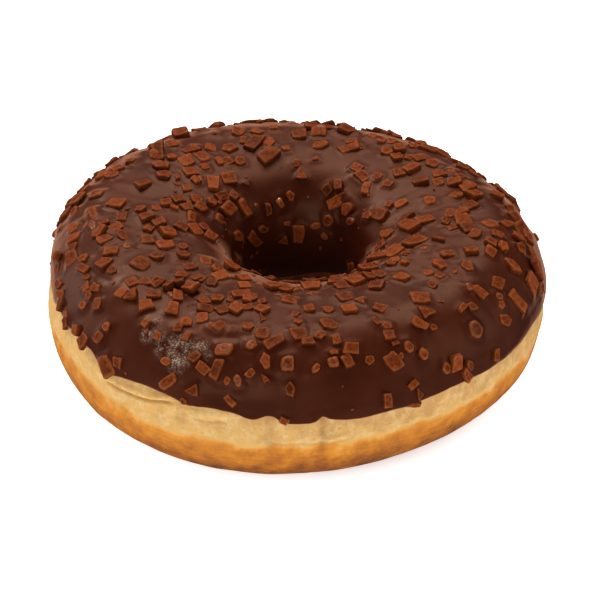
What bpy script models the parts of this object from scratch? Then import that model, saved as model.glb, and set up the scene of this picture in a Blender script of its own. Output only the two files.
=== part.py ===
"""Iced ring doughnut with chocolate pieces, in metres, +Z up, hole axis on Z, resting on the plane Z = 0.

Two pieces: the baked dough ring, and the chocolate icing that caps its upper half, with the chocolate pieces
fused to it. Angles run round the ring from +X towards +Y. A girth is the way along the ring's section, from
the middle of the base, up the outer side, over the crest and down into the hole.
"""
import math
import random

import bmesh
import bpy
import numpy as np
from mathutils import Matrix, Vector
from mathutils.bvhtree import BVHTree

# Driving sizes of the ring
OUTER_RADIUS = 0.0460
HOLE_RADIUS = 0.0124
CREST_RADIUS = 0.0338
HEIGHT = 0.0299
WAIST_HEIGHT = 0.0162
BASE_CUT = 0.0004
OUTER_SHOULDER = 1.9
INNER_SHOULDER = 3.2
UNDERSIDE = 2.85

# How far the ring is from a true one: an oval and lopsided plan, a hole off centre, a higher back
OVAL = 0.020
LOPSIDED_X = 0.019
LOPSIDED_Y = 0.016
HOLE_SHIFT_X = 0.0013
HOLE_SHIFT_Y = 0.0010
LEAN_X = -0.020
LEAN_Y = 0.040
CENTRE = (-0.00105, 0.00035)

# Swells of the dough: turns round the ring, turns along the section, height
SWELLS = ((3, 1, 0.00016), (5, 2, 0.00014), (7, 1, 0.00012), (9, 3, 0.00008), (4, 4, 0.00008))
SWELL_SEED = 11

# Icing: its edges, the gap to the dough, its thickness
EDGE_HEIGHT = 0.0164
EDGE_SLOPE = 0.0019
EDGE_LOW_SIDE = math.radians(-10)
EDGE_WAVES = ((5, 0.00035, 1.1), (9, 0.00030, 4.0), (14, 0.00022, 2.2))
NOTCHES = ((265.5, 2.2, 0.0013), (277.3, 1.4, 0.0016), (228.0, 3.0, -0.0010), (253.5, 2.0, 0.0007))
INNER_EDGE_HEIGHT = 0.0097
INNER_EDGE_WAVES = ((2, 0.00080, 0.6), (5, 0.00050, 3.0))
BARE_INSET = 0.0001
ICED_INSET = 0.0013
GAP = 0.0003
LIP_THICKNESS = 0.0004
ICING_THICKNESS = 0.0008
LIP_WIDTH = 0.0040

# Chocolate pieces, half sunk in the icing
PIECE_SEED = 7
PIECE_THICKNESS = (0.0010, 0.0016)
PIECE_TILT = math.radians(10)
PIECE_SUNK = 0.0005
LEAST_SUNK = 0.00035
LONGEST_PIECE = 0.0048
WIDEST_PIECE = 0.0034
SHORTEST_PIECE = 0.0014
RAISED_LIFT = 0.0004
RAISED_TILT = (math.radians(12), math.radians(32))

# The largest pieces as the photo shows them, in its pixels: both ends of the long axis, the width across it,
# and the sides
LARGE_PIECES = (
    (103, 176, 119, 169, 6, 5), (136, 186, 149, 179, 8, 4), (69, 198, 83, 197, 9, 4),
    (69, 213, 79, 206, 9, 5), (108, 200, 127, 203, 8, 4), (68, 229, 78, 224, 9, 5),
    (111, 226, 123, 221, 8, 4), (142, 217, 155, 214, 9, 4), (159, 231, 177, 231, 9, 4),
    (141, 238, 156, 238, 8, 4), (157, 243, 177, 241, 8, 4), (67, 239, 79, 234, 9, 5),
    (64, 259, 75, 252, 11, 4), (103, 250, 118, 249, 7, 4), (97, 266, 109, 256, 9, 4),
    (107, 269, 118, 265, 9, 5), (135, 266, 147, 258, 12, 4), (149, 254, 166, 256, 8, 5),
    (157, 172, 171, 176, 9, 5), (77, 264, 88, 269, 9, 4), (204, 145, 217, 145, 9, 4),
    (222, 147, 238, 144, 9, 5), (232, 127, 244, 132, 8, 5), (248, 149, 262, 135, 9, 4),
    (263, 138, 274, 143, 9, 5), (262, 160, 277, 149, 11, 4), (179, 160, 195, 157, 10, 4),
    (197, 150, 207, 160, 9, 4), (234, 160, 247, 160, 8, 5), (223, 177, 237, 176, 12, 4),
    (214, 174, 215, 189, 12, 4), (184, 171, 198, 169, 8, 4), (192, 179, 204, 179, 9, 5),
    (174, 198, 187, 196, 8, 4), (190, 195, 204, 201, 9, 5), (207, 198, 217, 204, 9, 5),
    (217, 197, 231, 193, 8, 4), (223, 215, 236, 203, 13, 4), (242, 201, 250, 217, 9, 4),
    (196, 206, 210, 206, 10, 5), (177, 223, 189, 228, 8, 4), (190, 229, 201, 227, 9, 4),
    (178, 255, 189, 250, 10, 5), (177, 275, 189, 270, 10, 5), (207, 283, 217, 278, 9, 5),
    (215, 275, 229, 272, 9, 4), (231, 293, 250, 289, 7, 4), (213, 299, 224, 293, 9, 5),
    (197, 306, 214, 307, 7, 4), (216, 309, 229, 304, 9, 4), (232, 309, 243, 301, 8, 4),
    (242, 305, 254, 304, 11, 4), (196, 314, 209, 315, 8, 4), (170, 313, 175, 302, 11, 4),
    (174, 329, 183, 320, 9, 5), (256, 303, 267, 309, 8, 4), (266, 284, 281, 284, 8, 4),
    (272, 282, 291, 289, 6, 4), (281, 297, 298, 298, 7, 4), (214, 327, 224, 320, 9, 4),
    (242, 326, 254, 321, 9, 5), (234, 233, 245, 239, 9, 5), (250, 235, 260, 246, 10, 4),
    (278, 244, 291, 238, 9, 3), (298, 225, 298, 243, 11, 4), (291, 161, 302, 164, 10, 5),
    (302, 168, 302, 182, 14, 3), (289, 191, 291, 203, 9, 5), (292, 133, 307, 132, 9, 4),
    (310, 131, 326, 131, 7, 4), (340, 127, 353, 131, 8, 4), (312, 146, 328, 141, 8, 5),
    (338, 149, 360, 144, 6, 4), (393, 147, 406, 147, 8, 4), (390, 157, 402, 155, 10, 4),
    (356, 170, 366, 178, 10, 4), (370, 173, 384, 174, 8, 5), (391, 171, 404, 169, 11, 4),
    (405, 163, 416, 171, 11, 4), (382, 179, 392, 184, 9, 5), (321, 195, 331, 186, 9, 4),
    (338, 178, 338, 191, 8, 4), (327, 207, 345, 195, 12, 4), (340, 212, 352, 204, 12, 5),
    (361, 219, 369, 211, 9, 5), (369, 209, 385, 217, 12, 4), (400, 221, 415, 229, 11, 4),
    (405, 243, 423, 234, 11, 4), (371, 248, 382, 240, 9, 4), (369, 256, 385, 251, 8, 4),
    (385, 253, 400, 244, 8, 4), (386, 263, 397, 256, 8, 5), (359, 269, 374, 262, 9, 4),
    (391, 270, 408, 277, 10, 5), (368, 282, 383, 283, 9, 4), (346, 281, 361, 275, 7, 4),
    (328, 282, 343, 277, 7, 5), (337, 295, 352, 292, 8, 4), (341, 307, 357, 306, 12, 4),
    (372, 304, 386, 306, 9, 4), (381, 322, 394, 323, 8, 5), (383, 333, 395, 333, 12, 4),
    (319, 319, 339, 325, 10, 5), (289, 333, 308, 329, 11, 4), (313, 334, 327, 330, 7, 5),
    (301, 340, 315, 338, 9, 4), (404, 340, 413, 350, 11, 5), (426, 164, 438, 160, 12, 5),
    (431, 173, 445, 170, 8, 4), (432, 181, 444, 180, 11, 4), (413, 180, 429, 179, 7, 4),
    (446, 180, 461, 181, 8, 4), (461, 188, 474, 183, 9, 4), (448, 194, 465, 193, 7, 5),
    (467, 195, 480, 191, 8, 4), (423, 200, 436, 198, 11, 4), (464, 205, 477, 201, 10, 4),
    (443, 213, 456, 208, 11, 5), (454, 220, 471, 216, 9, 4), (417, 221, 432, 215, 8, 4),
    (460, 228, 474, 224, 8, 4), (484, 217, 494, 225, 11, 4), (491, 229, 504, 236, 8, 5),
    (431, 238, 445, 238, 10, 3), (485, 239, 497, 243, 9, 4), (492, 190, 505, 198, 8, 4),
    (517, 227, 529, 226, 9, 4), (514, 233, 527, 238, 9, 5), (517, 243, 527, 250, 9, 5),
    (440, 253, 454, 249, 7, 4), (464, 250, 478, 247, 8, 4), (433, 257, 444, 266, 11, 5),
    (463, 259, 471, 269, 10, 5), (476, 284, 487, 295, 8, 4), (493, 279, 505, 284, 11, 4),
    (511, 289, 528, 309, 8, 4), (510, 254, 518, 273, 7, 4), (533, 260, 544, 275, 7, 4),
    (529, 274, 539, 290, 10, 4), (411, 296, 430, 296, 11, 4), (418, 304, 434, 318, 12, 3),
    (411, 317, 428, 325, 7, 4), (503, 313, 513, 324, 9, 5), (115, 296, 123, 286, 10, 4),
    (122, 297, 141, 291, 13, 3), (146, 293, 160, 292, 10, 4), (139, 305, 152, 301, 11, 4),
    (77, 334, 83, 345, 9, 4), (100, 357, 107, 379, 11, 4), (116, 354, 115, 368, 8, 4),
    (189, 360, 200, 351, 9, 4), (196, 361, 208, 372, 9, 4), (221, 355, 212, 380, 11, 4),
    (161, 386, 176, 375, 12, 4), (185, 392, 203, 388, 14, 3), (255, 331, 270, 330, 12, 4),
    (263, 346, 283, 335, 10, 4), (264, 351, 267, 369, 12, 5), (290, 381, 291, 398, 10, 5),
    (343, 347, 359, 346, 11, 4), (345, 353, 352, 366, 11, 4), (311, 373, 320, 363, 8, 5),
    (366, 360, 376, 358, 10, 5), (388, 352, 401, 370, 13, 4), (421, 344, 427, 358, 10, 5),
    (446, 361, 450, 375, 9, 5), (457, 354, 459, 372, 11, 4), (417, 387, 424, 401, 9, 3),
    (386, 393, 388, 408, 9, 4), (52, 254, 59, 255, 8, 4), (51, 269, 57, 264, 8, 5), (53, 281, 58, 285, 8, 5),
)

# Pieces that have melted to shiny pebbles
MELTED_PIECES = (
    (89, 193, 101, 191, 9, 4), (90, 218, 93, 228, 8, 5), (121, 244, 132, 244, 9, 5),
    (277, 199, 284, 209, 6, 4), (169, 289, 174, 296, 7, 5), (208, 320, 214, 325, 6, 5),
    (323, 216, 332, 229, 12, 5), (309, 229, 321, 227, 8, 5), (343, 223, 353, 220, 9, 5),
    (417, 246, 428, 247, 9, 5), (465, 285, 474, 284, 7, 4), (497, 294, 506, 296, 8, 5),
    (469, 324, 484, 331, 15, 5), (158, 359, 171, 361, 10, 5), (213, 347, 234, 347, 11, 4),
    (236, 372, 238, 387, 10, 5), (245, 345, 258, 339, 10, 5), (287, 353, 288, 371, 12, 4),
    (328, 361, 341, 360, 11, 4), (401, 350, 403, 359, 7, 5), (319, 235, 329, 238, 7, 5),
)

# Pieces that lean on others or stand up from the icing
RAISED_PIECES = (
    (172, 135, 188, 131, 12, 4), (95, 235, 108, 227, 6, 4), (149, 150, 160, 147, 7, 4),
    (150, 156, 160, 152, 9, 5), (160, 145, 161, 158, 6, 4), (153, 163, 171, 166, 6, 5),
    (168, 289, 174, 281, 7, 4), (173, 281, 187, 283, 7, 5), (177, 289, 178, 300, 6, 4),
    (186, 284, 199, 291, 9, 4),
)

# Pieces of the same kind where the photo doesn't show the ring
HIDDEN_COUNT = 45
HIDDEN_LENGTH = (0.0027, 0.0040)
HIDDEN_SLENDERNESS = (0.60, 1.00)
HIDDEN_SPACING = 0.80
EDGE_MARGIN = 0.0016

# The photo: its size, where it was taken from and its focal length in pixels
VIEW_RISE = math.radians(32.5)
VIEW_AWAY = 14.0 * OUTER_RADIUS
VIEW_AIM = (0.0199 * OUTER_RADIUS + CENTRE[0], CENTRE[1], 0.2845 * OUTER_RADIUS)
PHOTO_SIDE = 592
PHOTO_FOCAL = 3423.0

# Lines of sight: the mesh that they meet, and how far the tops of the pieces are above the skin
VIEW_SECTORS = 480
VIEW_ROW = 0.0003
PIECE_EYE_HEIGHT = 0.0006

# Fineness of the meshes
SECTORS = 64
DOUGH_RINGS = 25
ICING_OUTER_RINGS = 14
ICING_INNER_RINGS = 15

DOUGH_COLOUR = (0.60, 0.30, 0.09, 1.0)
ICING_COLOUR = (0.055, 0.018, 0.010, 1.0)


def superellipse(value, roundness):
    """One coordinate of a unit superellipse, from a cosine or sine."""
    return np.sign(value) * np.abs(value) ** (2.0 / roundness)


def outer_radius(angle):
    uneven = OVAL * np.cos(2 * angle) + LOPSIDED_X * np.cos(3 * angle) + LOPSIDED_Y * np.sin(3 * angle)
    return OUTER_RADIUS * (1.0 + uneven)


def hole_radius(angle):
    return HOLE_RADIUS + HOLE_SHIFT_X * np.cos(angle) + HOLE_SHIFT_Y * np.sin(angle)


def crown_height(angle):
    return HEIGHT * (1.0 + LEAN_X * np.cos(angle) + LEAN_Y * np.sin(angle))


def section(turn, outer, hole, height):
    """Radius and height at a turn: 0 is the outer side, a quarter turn the crest, a half turn the hole."""
    side = np.cos(turn)
    rise = np.sin(turn)
    shoulder = np.where(side > 0, OUTER_SHOULDER, INNER_SHOULDER)
    roundness = np.where(rise > 0, shoulder, UNDERSIDE)
    crest = hole + (outer - hole) * (CREST_RADIUS - HOLE_RADIUS) / (OUTER_RADIUS - HOLE_RADIUS)
    reach = np.where(side > 0, outer - crest, crest - hole)
    climb = np.where(rise > 0, height - WAIST_HEIGHT, WAIST_HEIGHT)
    radius = crest + reach * superellipse(side, roundness)
    return radius, WAIST_HEIGHT + climb * superellipse(rise, roundness) - BASE_CUT


def girth_table():
    """Turns and the girths that they reach on the mean section."""
    turns = np.linspace(-0.5 * np.pi, 1.5 * np.pi, 4001)
    radius, height = section(turns, OUTER_RADIUS, HOLE_RADIUS, HEIGHT)
    steps = np.hypot(np.diff(radius), np.diff(height))
    return turns, np.concatenate([[0.0], np.cumsum(steps)])


TURNS, GIRTHS = girth_table()
FULL_GIRTH = float(GIRTHS[-1])


def swell(angle, girth):
    """Low swells of the dough, which die out towards the flat foot."""
    draw = random.Random(SWELL_SEED)
    way = 2 * np.pi * girth / FULL_GIRTH
    total = 0.0
    for round_turns, section_turns, height in SWELLS:
        phase = draw.uniform(0.0, 2 * np.pi)
        total = total + height * np.sin(round_turns * angle + section_turns * way + phase)
    return total * np.sin(0.5 * way) ** 2


def bare_skin(angle, girth):
    turn = np.interp(girth % FULL_GIRTH, GIRTHS, TURNS)
    radius, height = section(turn, outer_radius(angle), hole_radius(angle), crown_height(angle))
    return np.stack([radius * np.cos(angle) + CENTRE[0], radius * np.sin(angle) + CENTRE[1], height], axis=-1)


def skin_normal(angle, girth):
    """Outward direction of the skin, from neighbouring points on it."""
    step = 0.0002
    turn_step = step / OUTER_RADIUS
    along_ring = bare_skin(angle + turn_step, girth) - bare_skin(angle - turn_step, girth)
    along_section = bare_skin(angle, girth + step) - bare_skin(angle, girth - step)
    normal = np.cross(along_ring, along_section)
    return normal / np.linalg.norm(normal, axis=-1, keepdims=True)


def skin(angle, girth, offset):
    """Point at an offset outside the swelling skin of the ring."""
    angle, girth, offset = np.broadcast_arrays(angle, girth, offset)
    away = (swell(angle, girth) + offset)[..., None]
    return bare_skin(angle, girth) + skin_normal(angle, girth) * away


def girth_at_height(angle, height, inner):
    """Girth at which the skin reaches a height, on the outer side or in the hole."""
    above = height + BASE_CUT - WAIST_HEIGHT
    shoulder = INNER_SHOULDER if inner else OUTER_SHOULDER
    climb = np.where(above > 0, crown_height(angle) - WAIST_HEIGHT, WAIST_HEIGHT)
    roundness = np.where(above > 0, shoulder, UNDERSIDE)
    turn = np.sign(above) * np.arcsin(np.clip(np.abs(above) / climb, 0.0, 1.0) ** (roundness / 2.0))
    return np.interp(np.pi - turn if inner else turn, TURNS, GIRTHS)


def outer_edge(angle):
    """Girth of the icing's wavy lower edge outside."""
    height = EDGE_HEIGHT - EDGE_SLOPE * np.cos(angle - EDGE_LOW_SIDE)
    for turns, wave, phase in EDGE_WAVES:
        height = height + wave * np.sin(turns * angle + phase)
    for middle, width, rise in NOTCHES:
        away = (np.degrees(angle) - middle + 180.0) % 360.0 - 180.0
        height = height + rise * np.exp(-((away / width) ** 2))
    return girth_at_height(angle, height, inner=False)


def inner_edge(angle):
    """Girth of the icing's edge inside the hole."""
    height = INNER_EDGE_HEIGHT + 0.0 * angle
    for turns, wave, phase in INNER_EDGE_WAVES:
        height = height + wave * np.sin(turns * angle + phase)
    return girth_at_height(angle, height, inner=True)


def icing_thickness(from_edge):
    """Thickness at a distance from the nearest edge: a thin lip that fills out."""
    share = np.clip(from_edge / LIP_WIDTH, 0.0, 1.0)
    return LIP_THICKNESS + (ICING_THICKNESS - LIP_THICKNESS) * np.sin(share * np.pi / 2)


def dough_inset(girth):
    """Depth of the dough's own face under the skin: almost none where bare, the icing's room where iced."""
    level = np.sin(np.interp(girth % FULL_GIRTH, GIRTHS, TURNS))
    share = np.clip(0.5 + 2.5 * level, 0.0, 1.0)
    return BARE_INSET + (ICED_INSET - BARE_INSET) * share


def icing_inside(girth):
    """Offset of the icing's inner face from the skin."""
    return GAP - dough_inset(girth)


def icing_outside(girth, start, end):
    """Offset of the icing's outer face from the skin, between its two edges."""
    from_edge = np.minimum(girth - start, end - girth)
    return icing_inside(girth) + icing_thickness(from_edge)


def ring_faces(ring_count, sectors):
    """Quads of a closed grid of rings, of which the last joins the first."""
    ring, sector = np.meshgrid(np.arange(ring_count), np.arange(sectors), indexing="ij")
    following = (ring + 1) % ring_count
    beside = (sector + 1) % sectors
    quads = [ring * sectors + sector, ring * sectors + beside, following * sectors + beside,
             following * sectors + sector]
    return np.stack(quads, axis=-1).reshape(-1, 4).tolist()


def torus_mesh(name, rows):
    """Closed mesh from rows of points round the ring."""
    mesh = bpy.data.meshes.new(name)
    mesh.from_pydata(rows.reshape(-1, 3).tolist(), [], ring_faces(rows.shape[0], rows.shape[1]))
    mesh.update()
    return mesh


def make_material(name, colour, roughness):
    material = bpy.data.materials.new(name)
    material.use_nodes = True
    shader = material.node_tree.nodes["Principled BSDF"]
    shader.inputs["Base Color"].default_value = colour
    shader.inputs["Roughness"].default_value = roughness
    shader.inputs["Metallic"].default_value = 0.0
    return material


def make_object(name, mesh, material):
    item = bpy.data.objects.new(name, mesh)
    bpy.context.scene.collection.objects.link(item)
    mesh.materials.append(material)
    mesh.shade_smooth()
    mesh.set_sharp_from_angle(angle=math.radians(50))
    return item


def make_dough():
    """The baked ring, with a flat foot where it lay."""
    angles = np.linspace(0.0, 2 * np.pi, SECTORS, endpoint=False)
    girths = np.linspace(0.0, FULL_GIRTH, DOUGH_RINGS, endpoint=False)
    grid_girth, grid_angle = np.meshgrid(girths, angles, indexing="ij")
    points = skin(grid_angle, grid_girth, -dough_inset(grid_girth))
    points[..., 2] = np.maximum(points[..., 2], 0.0)
    mesh = torus_mesh("dough_ring", points)
    return make_object("dough_ring", mesh, make_material("golden_dough", DOUGH_COLOUR, 0.6))


def make_icing():
    """The chocolate cap: an outer face, a lip at each edge, and an inner face just off the dough."""
    angles = np.linspace(0.0, 2 * np.pi, SECTORS, endpoint=False)
    start = outer_edge(angles)
    end = inner_edge(angles)
    rows = []
    for step in np.linspace(0.0, 1.0, ICING_OUTER_RINGS):
        girth = start + (end - start) * step
        rows.append(skin(angles, girth, icing_outside(girth, start, end)))
    for step in np.linspace(1.0, 0.0, ICING_INNER_RINGS):
        girth = start + (end - start) * step
        rows.append(skin(angles, girth, icing_inside(girth)))
    mesh = torus_mesh("chocolate_icing", np.array(rows))
    return make_object("chocolate_icing", mesh, make_material("dark_chocolate", ICING_COLOUR, 0.35))


class Piece:
    """One piece: its place on the ring, its outline, and how it lies."""

    def __init__(self, angle, girth, length, width, spin, sides):
        self.angle = angle
        self.girth = girth
        self.length = length
        self.width = width
        self.spin = spin
        self.sides = sides
        self.lift = 0.0
        self.base = skin(angle, girth, 0.0)

    def shape(self, draw, thickness, tilt):
        """Draws the outline, thickness, taper and tilts."""
        self.outline = piece_outline(draw, self.length, self.width, self.sides)
        self.thickness = min(draw.uniform(*thickness), 0.65 * self.length)
        self.taper = draw.uniform(0.80, 0.96)
        self.tilt_x = draw.uniform(-tilt, tilt)
        self.tilt_y = draw.uniform(-tilt, tilt)


def piece_outline(draw, length, width, sides):
    """Corners of one chipped slab."""
    corners = []
    for side in range(sides):
        turn = 2 * math.pi * (side + 0.5 + draw.uniform(-0.15, 0.15)) / sides
        reach = draw.uniform(0.88, 1.08) * (1.28 if sides == 4 else 1.08)
        corners.append((0.5 * length * reach * math.cos(turn), 0.5 * width * reach * math.sin(turn)))
    return corners


class View:
    """The photo's view of the ring: where a pixel's line of sight meets it, and which places show."""

    def __init__(self):
        angles = np.linspace(0.0, 2 * np.pi, VIEW_SECTORS, endpoint=False)
        self.girths = np.arange(VIEW_ROW, FULL_GIRTH, VIEW_ROW)
        girth, angle = np.meshgrid(self.girths, angles, indexing="ij")
        points = skin(angle, girth, PIECE_EYE_HEIGHT).reshape(-1, 3)
        faces = ring_faces(len(self.girths), VIEW_SECTORS)
        self.tree = BVHTree.FromPolygons([Vector(point) for point in points], faces)
        self.away = Vector((0.0, -math.cos(VIEW_RISE), math.sin(VIEW_RISE)))
        self.eye = Vector(VIEW_AIM) + self.away * VIEW_AWAY

    def hit(self, x, y):
        """Point, angle and girth where a pixel's line of sight meets the ring, or the nearest inside it."""
        upward = Vector((0.0, math.sin(VIEW_RISE), math.cos(VIEW_RISE)))
        middle = PHOTO_SIDE / 2
        for _ in range(40):
            right = (x - middle) / PHOTO_FOCAL
            up = (middle - y) / PHOTO_FOCAL
            direction = Vector((1.0, 0.0, 0.0)) * right + upward * up - self.away
            point, _, face, _ = self.tree.ray_cast(self.eye, direction)
            if point is not None:
                angle = math.atan2(point.y - CENTRE[1], point.x - CENTRE[0]) % (2 * math.pi)
                return point, angle, float(self.girths[face // VIEW_SECTORS])
            x += 0.5 if x < middle else -0.5
            y += 0.5 if y < middle else -0.5
        raise ValueError("no part of the ring near this pixel")

    def shows(self, angle, girth):
        point = Vector(skin(angle, girth, PIECE_EYE_HEIGHT))
        toward = (point - self.eye).normalized()
        if Vector(skin_normal(angle, girth)).dot(toward) > -0.03:
            return False
        met, _, _, _ = self.tree.ray_cast(self.eye, toward)
        return met is not None and (met - point).length < 0.0015

    def piece(self, x_first, y_first, x_last, y_last, width, sides):
        """The piece that shows with these ends and this width."""
        x, y = 0.5 * (x_first + x_last), 0.5 * (y_first + y_last)
        _, angle, girth = self.hit(x, y)
        first = self.hit(x_first, y_first)[0]
        last = self.hit(x_last, y_last)[0]
        along = math.hypot(x_last - x_first, y_last - y_first)
        side = (-(y_last - y_first) / along * width / 2, (x_last - x_first) / along * width / 2)
        one_side = self.hit(x + side[0], y + side[1])[0]
        other_side = self.hit(x - side[0], y - side[1])[0]
        level, slope, _ = surface_axes(angle, girth)
        way = last - first
        spin = math.atan2(way.dot(slope), way.dot(level))
        length = min(max(way.length, SHORTEST_PIECE), LONGEST_PIECE)
        breadth = min(max((one_side - other_side).length, 0.45 * length), length, WIDEST_PIECE)
        return Piece(angle, girth, length, breadth, spin, sides)


def seen_pieces(view):
    """The large pieces that the photo shows."""
    draw = random.Random(PIECE_SEED + 1)
    pieces = []
    for row in LARGE_PIECES + MELTED_PIECES + RAISED_PIECES:
        piece = view.piece(*row)
        piece.shape(draw, PIECE_THICKNESS, PIECE_TILT)
        pieces.append(piece)
    for piece in pieces[-len(RAISED_PIECES):]:
        piece.lift = RAISED_LIFT
        piece.tilt_x = draw.choice((-1, 1)) * draw.uniform(*RAISED_TILT)
    return pieces


def crowding(angle, level):
    """Share of the draws kept: dense on top, sparse on steep sides, densest on the left."""
    uneven = 1.0 + 0.22 * math.cos(angle - math.radians(165))
    return (0.10 + 0.62 * max(level, 0.0)) * uneven


def hidden_pieces(view, pieces, seed, count, lengths, spacing):
    """A seeded draw of pieces of the same kind where the photo doesn't show the ring."""
    draw = random.Random(seed)
    added = []
    bases = [piece.base for piece in pieces]
    reach = [0.5 * piece.length for piece in pieces]
    while len(added) < count:
        angle = draw.uniform(0.0, 2 * math.pi)
        girth = draw.uniform(outer_edge(angle) + EDGE_MARGIN, inner_edge(angle) - EDGE_MARGIN)
        length = draw.uniform(*lengths)
        width = length * draw.uniform(*HIDDEN_SLENDERNESS)
        spin = draw.uniform(0.0, 2 * math.pi)
        sides = draw.choice((4, 4, 4, 5, 3))
        if draw.random() > crowding(angle, skin_normal(angle, girth)[2]) or view.shows(angle, girth):
            continue
        away = np.linalg.norm(np.array(bases) - skin(angle, girth, 0.0), axis=1)
        if np.min(away / (np.array(reach) + 0.5 * length)) < spacing:
            continue
        piece = Piece(angle, girth, length, width, spin, sides)
        piece.shape(draw, PIECE_THICKNESS, PIECE_TILT)
        added.append(piece)
        bases.append(piece.base)
        reach.append(0.5 * length)
    return added


def solid_pieces(view):
    """The pieces that the solid has: the large ones that show, and some of the others."""
    pieces = seen_pieces(view)
    return pieces + hidden_pieces(view, pieces, PIECE_SEED, HIDDEN_COUNT, HIDDEN_LENGTH, HIDDEN_SPACING)


def surface_axes(angle, girth):
    """Directions on the skin: level along the ring, up the slope, and outward."""
    upright = Vector(skin_normal(angle, girth))
    level = Vector((0.0, 0.0, 1.0)).cross(upright).normalized()
    return level, upright.cross(level), upright


def piece_frame(piece, surface):
    """Matrix from a piece's own axes to the ring, its base sunk in a surface at an offset from the skin."""
    axes = Matrix(surface_axes(piece.angle, piece.girth)).transposed()
    tip = Matrix.Rotation(piece.tilt_x, 4, "X") @ Matrix.Rotation(piece.tilt_y, 4, "Y")
    tip = tip @ Matrix.Rotation(piece.spin, 4, "Z")
    lowest = min((tip @ Vector((x, y, 0.0))).z for x, y in piece.outline)
    sunk = min(PIECE_SUNK, 0.4 * piece.thickness)
    rise = min(piece.lift - sunk - max(lowest, -0.6 * piece.thickness), -lowest - min(LEAST_SUNK, sunk))
    out = Matrix.Translation((0.0, 0.0, surface + rise))
    return Matrix.Translation(Vector(piece.base)) @ axes.to_4x4() @ out @ tip


def make_piece(number, piece, collection):
    """One slab: a base outline, a smaller top outline, and walls between them."""
    shape = bmesh.new()
    base = [shape.verts.new((x, y, 0.0)) for x, y in piece.outline]
    top = [shape.verts.new((x * piece.taper, y * piece.taper, piece.thickness)) for x, y in piece.outline]
    shape.faces.new(list(reversed(base)))
    shape.faces.new(top)
    for side in range(piece.sides):
        beside = (side + 1) % piece.sides
        shape.faces.new((base[side], base[beside], top[beside], top[side]))
    surface = icing_outside(piece.girth, outer_edge(piece.angle), inner_edge(piece.angle))
    shape.transform(piece_frame(piece, surface))
    mesh = bpy.data.meshes.new(f"piece_{number}")
    shape.to_mesh(mesh)
    shape.free()
    item = bpy.data.objects.new(f"piece_{number}", mesh)
    collection.objects.link(item)


def keep_largest_shell(mesh):
    """Drops loose scraps and the walls of sealed hollows, which are shells of their own."""
    shape = bmesh.new()
    shape.from_mesh(mesh)
    unseen = set(shape.verts)
    shells = []
    while unseen:
        shell = []
        front = [unseen.pop()]
        while front:
            vert = front.pop()
            shell.append(vert)
            for edge in vert.link_edges:
                other = edge.other_vert(vert)
                if other in unseen:
                    unseen.remove(other)
                    front.append(other)
        shells.append(shell)
    shells.sort(key=len)
    for shell in shells[:-1]:
        bmesh.ops.delete(shape, geom=shell, context="VERTS")
    shape.to_mesh(mesh)
    shape.free()


def fuse_pieces(icing):
    """Joins the pieces to the icing with one union, then removes them."""
    collection = bpy.data.collections.new("pieces")
    bpy.context.scene.collection.children.link(collection)
    for number, piece in enumerate(solid_pieces(View())):
        make_piece(number, piece, collection)
    union = icing.modifiers.new("fuse_pieces", "BOOLEAN")
    union.operation = "UNION"
    union.operand_type = "COLLECTION"
    union.collection = collection
    union.solver = "EXACT"
    bpy.context.view_layer.update()
    evaluated = icing.evaluated_get(bpy.context.evaluated_depsgraph_get())
    fused = bpy.data.meshes.new_from_object(evaluated)
    icing.modifiers.clear()
    icing.data = fused
    for item in list(collection.objects):
        bpy.data.objects.remove(item)
    bpy.data.collections.remove(collection)
    keep_largest_shell(fused)


def main():
    for item in list(bpy.data.objects):
        bpy.data.objects.remove(item)
    make_dough()
    icing = make_icing()
    fuse_pieces(icing)


main()
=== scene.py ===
"""Looks of an iced ring doughnut with chocolate pieces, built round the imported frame. Metres, +Z up.

Angles run round the ring from +X towards +Y. A girth is the way along the ring's section, from the middle
of the base, up the outer side, over the crest and down into the hole. The ring's form is the solids' own.
"""

import math
import random

import bpy
import numpy as np
from mathutils import Matrix, Vector, kdtree, noise
from mathutils.bvhtree import BVHTree


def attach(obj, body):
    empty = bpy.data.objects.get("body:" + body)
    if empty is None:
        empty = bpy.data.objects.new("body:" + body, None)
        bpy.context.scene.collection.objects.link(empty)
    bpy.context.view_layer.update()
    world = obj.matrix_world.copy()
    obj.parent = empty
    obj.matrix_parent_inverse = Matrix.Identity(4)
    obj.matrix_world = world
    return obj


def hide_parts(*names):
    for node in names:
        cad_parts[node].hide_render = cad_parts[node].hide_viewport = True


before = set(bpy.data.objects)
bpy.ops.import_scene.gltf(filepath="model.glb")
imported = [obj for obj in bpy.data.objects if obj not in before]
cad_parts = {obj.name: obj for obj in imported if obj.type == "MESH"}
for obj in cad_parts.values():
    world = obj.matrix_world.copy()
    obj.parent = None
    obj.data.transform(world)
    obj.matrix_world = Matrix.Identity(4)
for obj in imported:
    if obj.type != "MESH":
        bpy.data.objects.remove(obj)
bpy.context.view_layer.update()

MM = 0.001

# Driving sizes of the ring
OUTER_RADIUS = 0.0460
HOLE_RADIUS = 0.0124
CREST_RADIUS = 0.0338
HEIGHT = 0.0299
WAIST_HEIGHT = 0.0162
BASE_CUT = 0.0004
OUTER_SHOULDER = 1.9
INNER_SHOULDER = 3.2
UNDERSIDE = 2.85

# How far the ring is from a true one
OVAL = 0.020
LOPSIDED_X = 0.019
LOPSIDED_Y = 0.016
HOLE_SHIFT_X = 0.0013
HOLE_SHIFT_Y = 0.0010
LEAN_X = -0.020
LEAN_Y = 0.040
CENTRE = (-0.00105, 0.00035)

# Swells of the dough: turns round the ring, turns along the section, height
SWELLS = ((3, 1, 0.00016), (5, 2, 0.00014), (7, 1, 0.00012), (9, 3, 0.00008), (4, 4, 0.00008))
SWELL_SEED = 11

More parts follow.
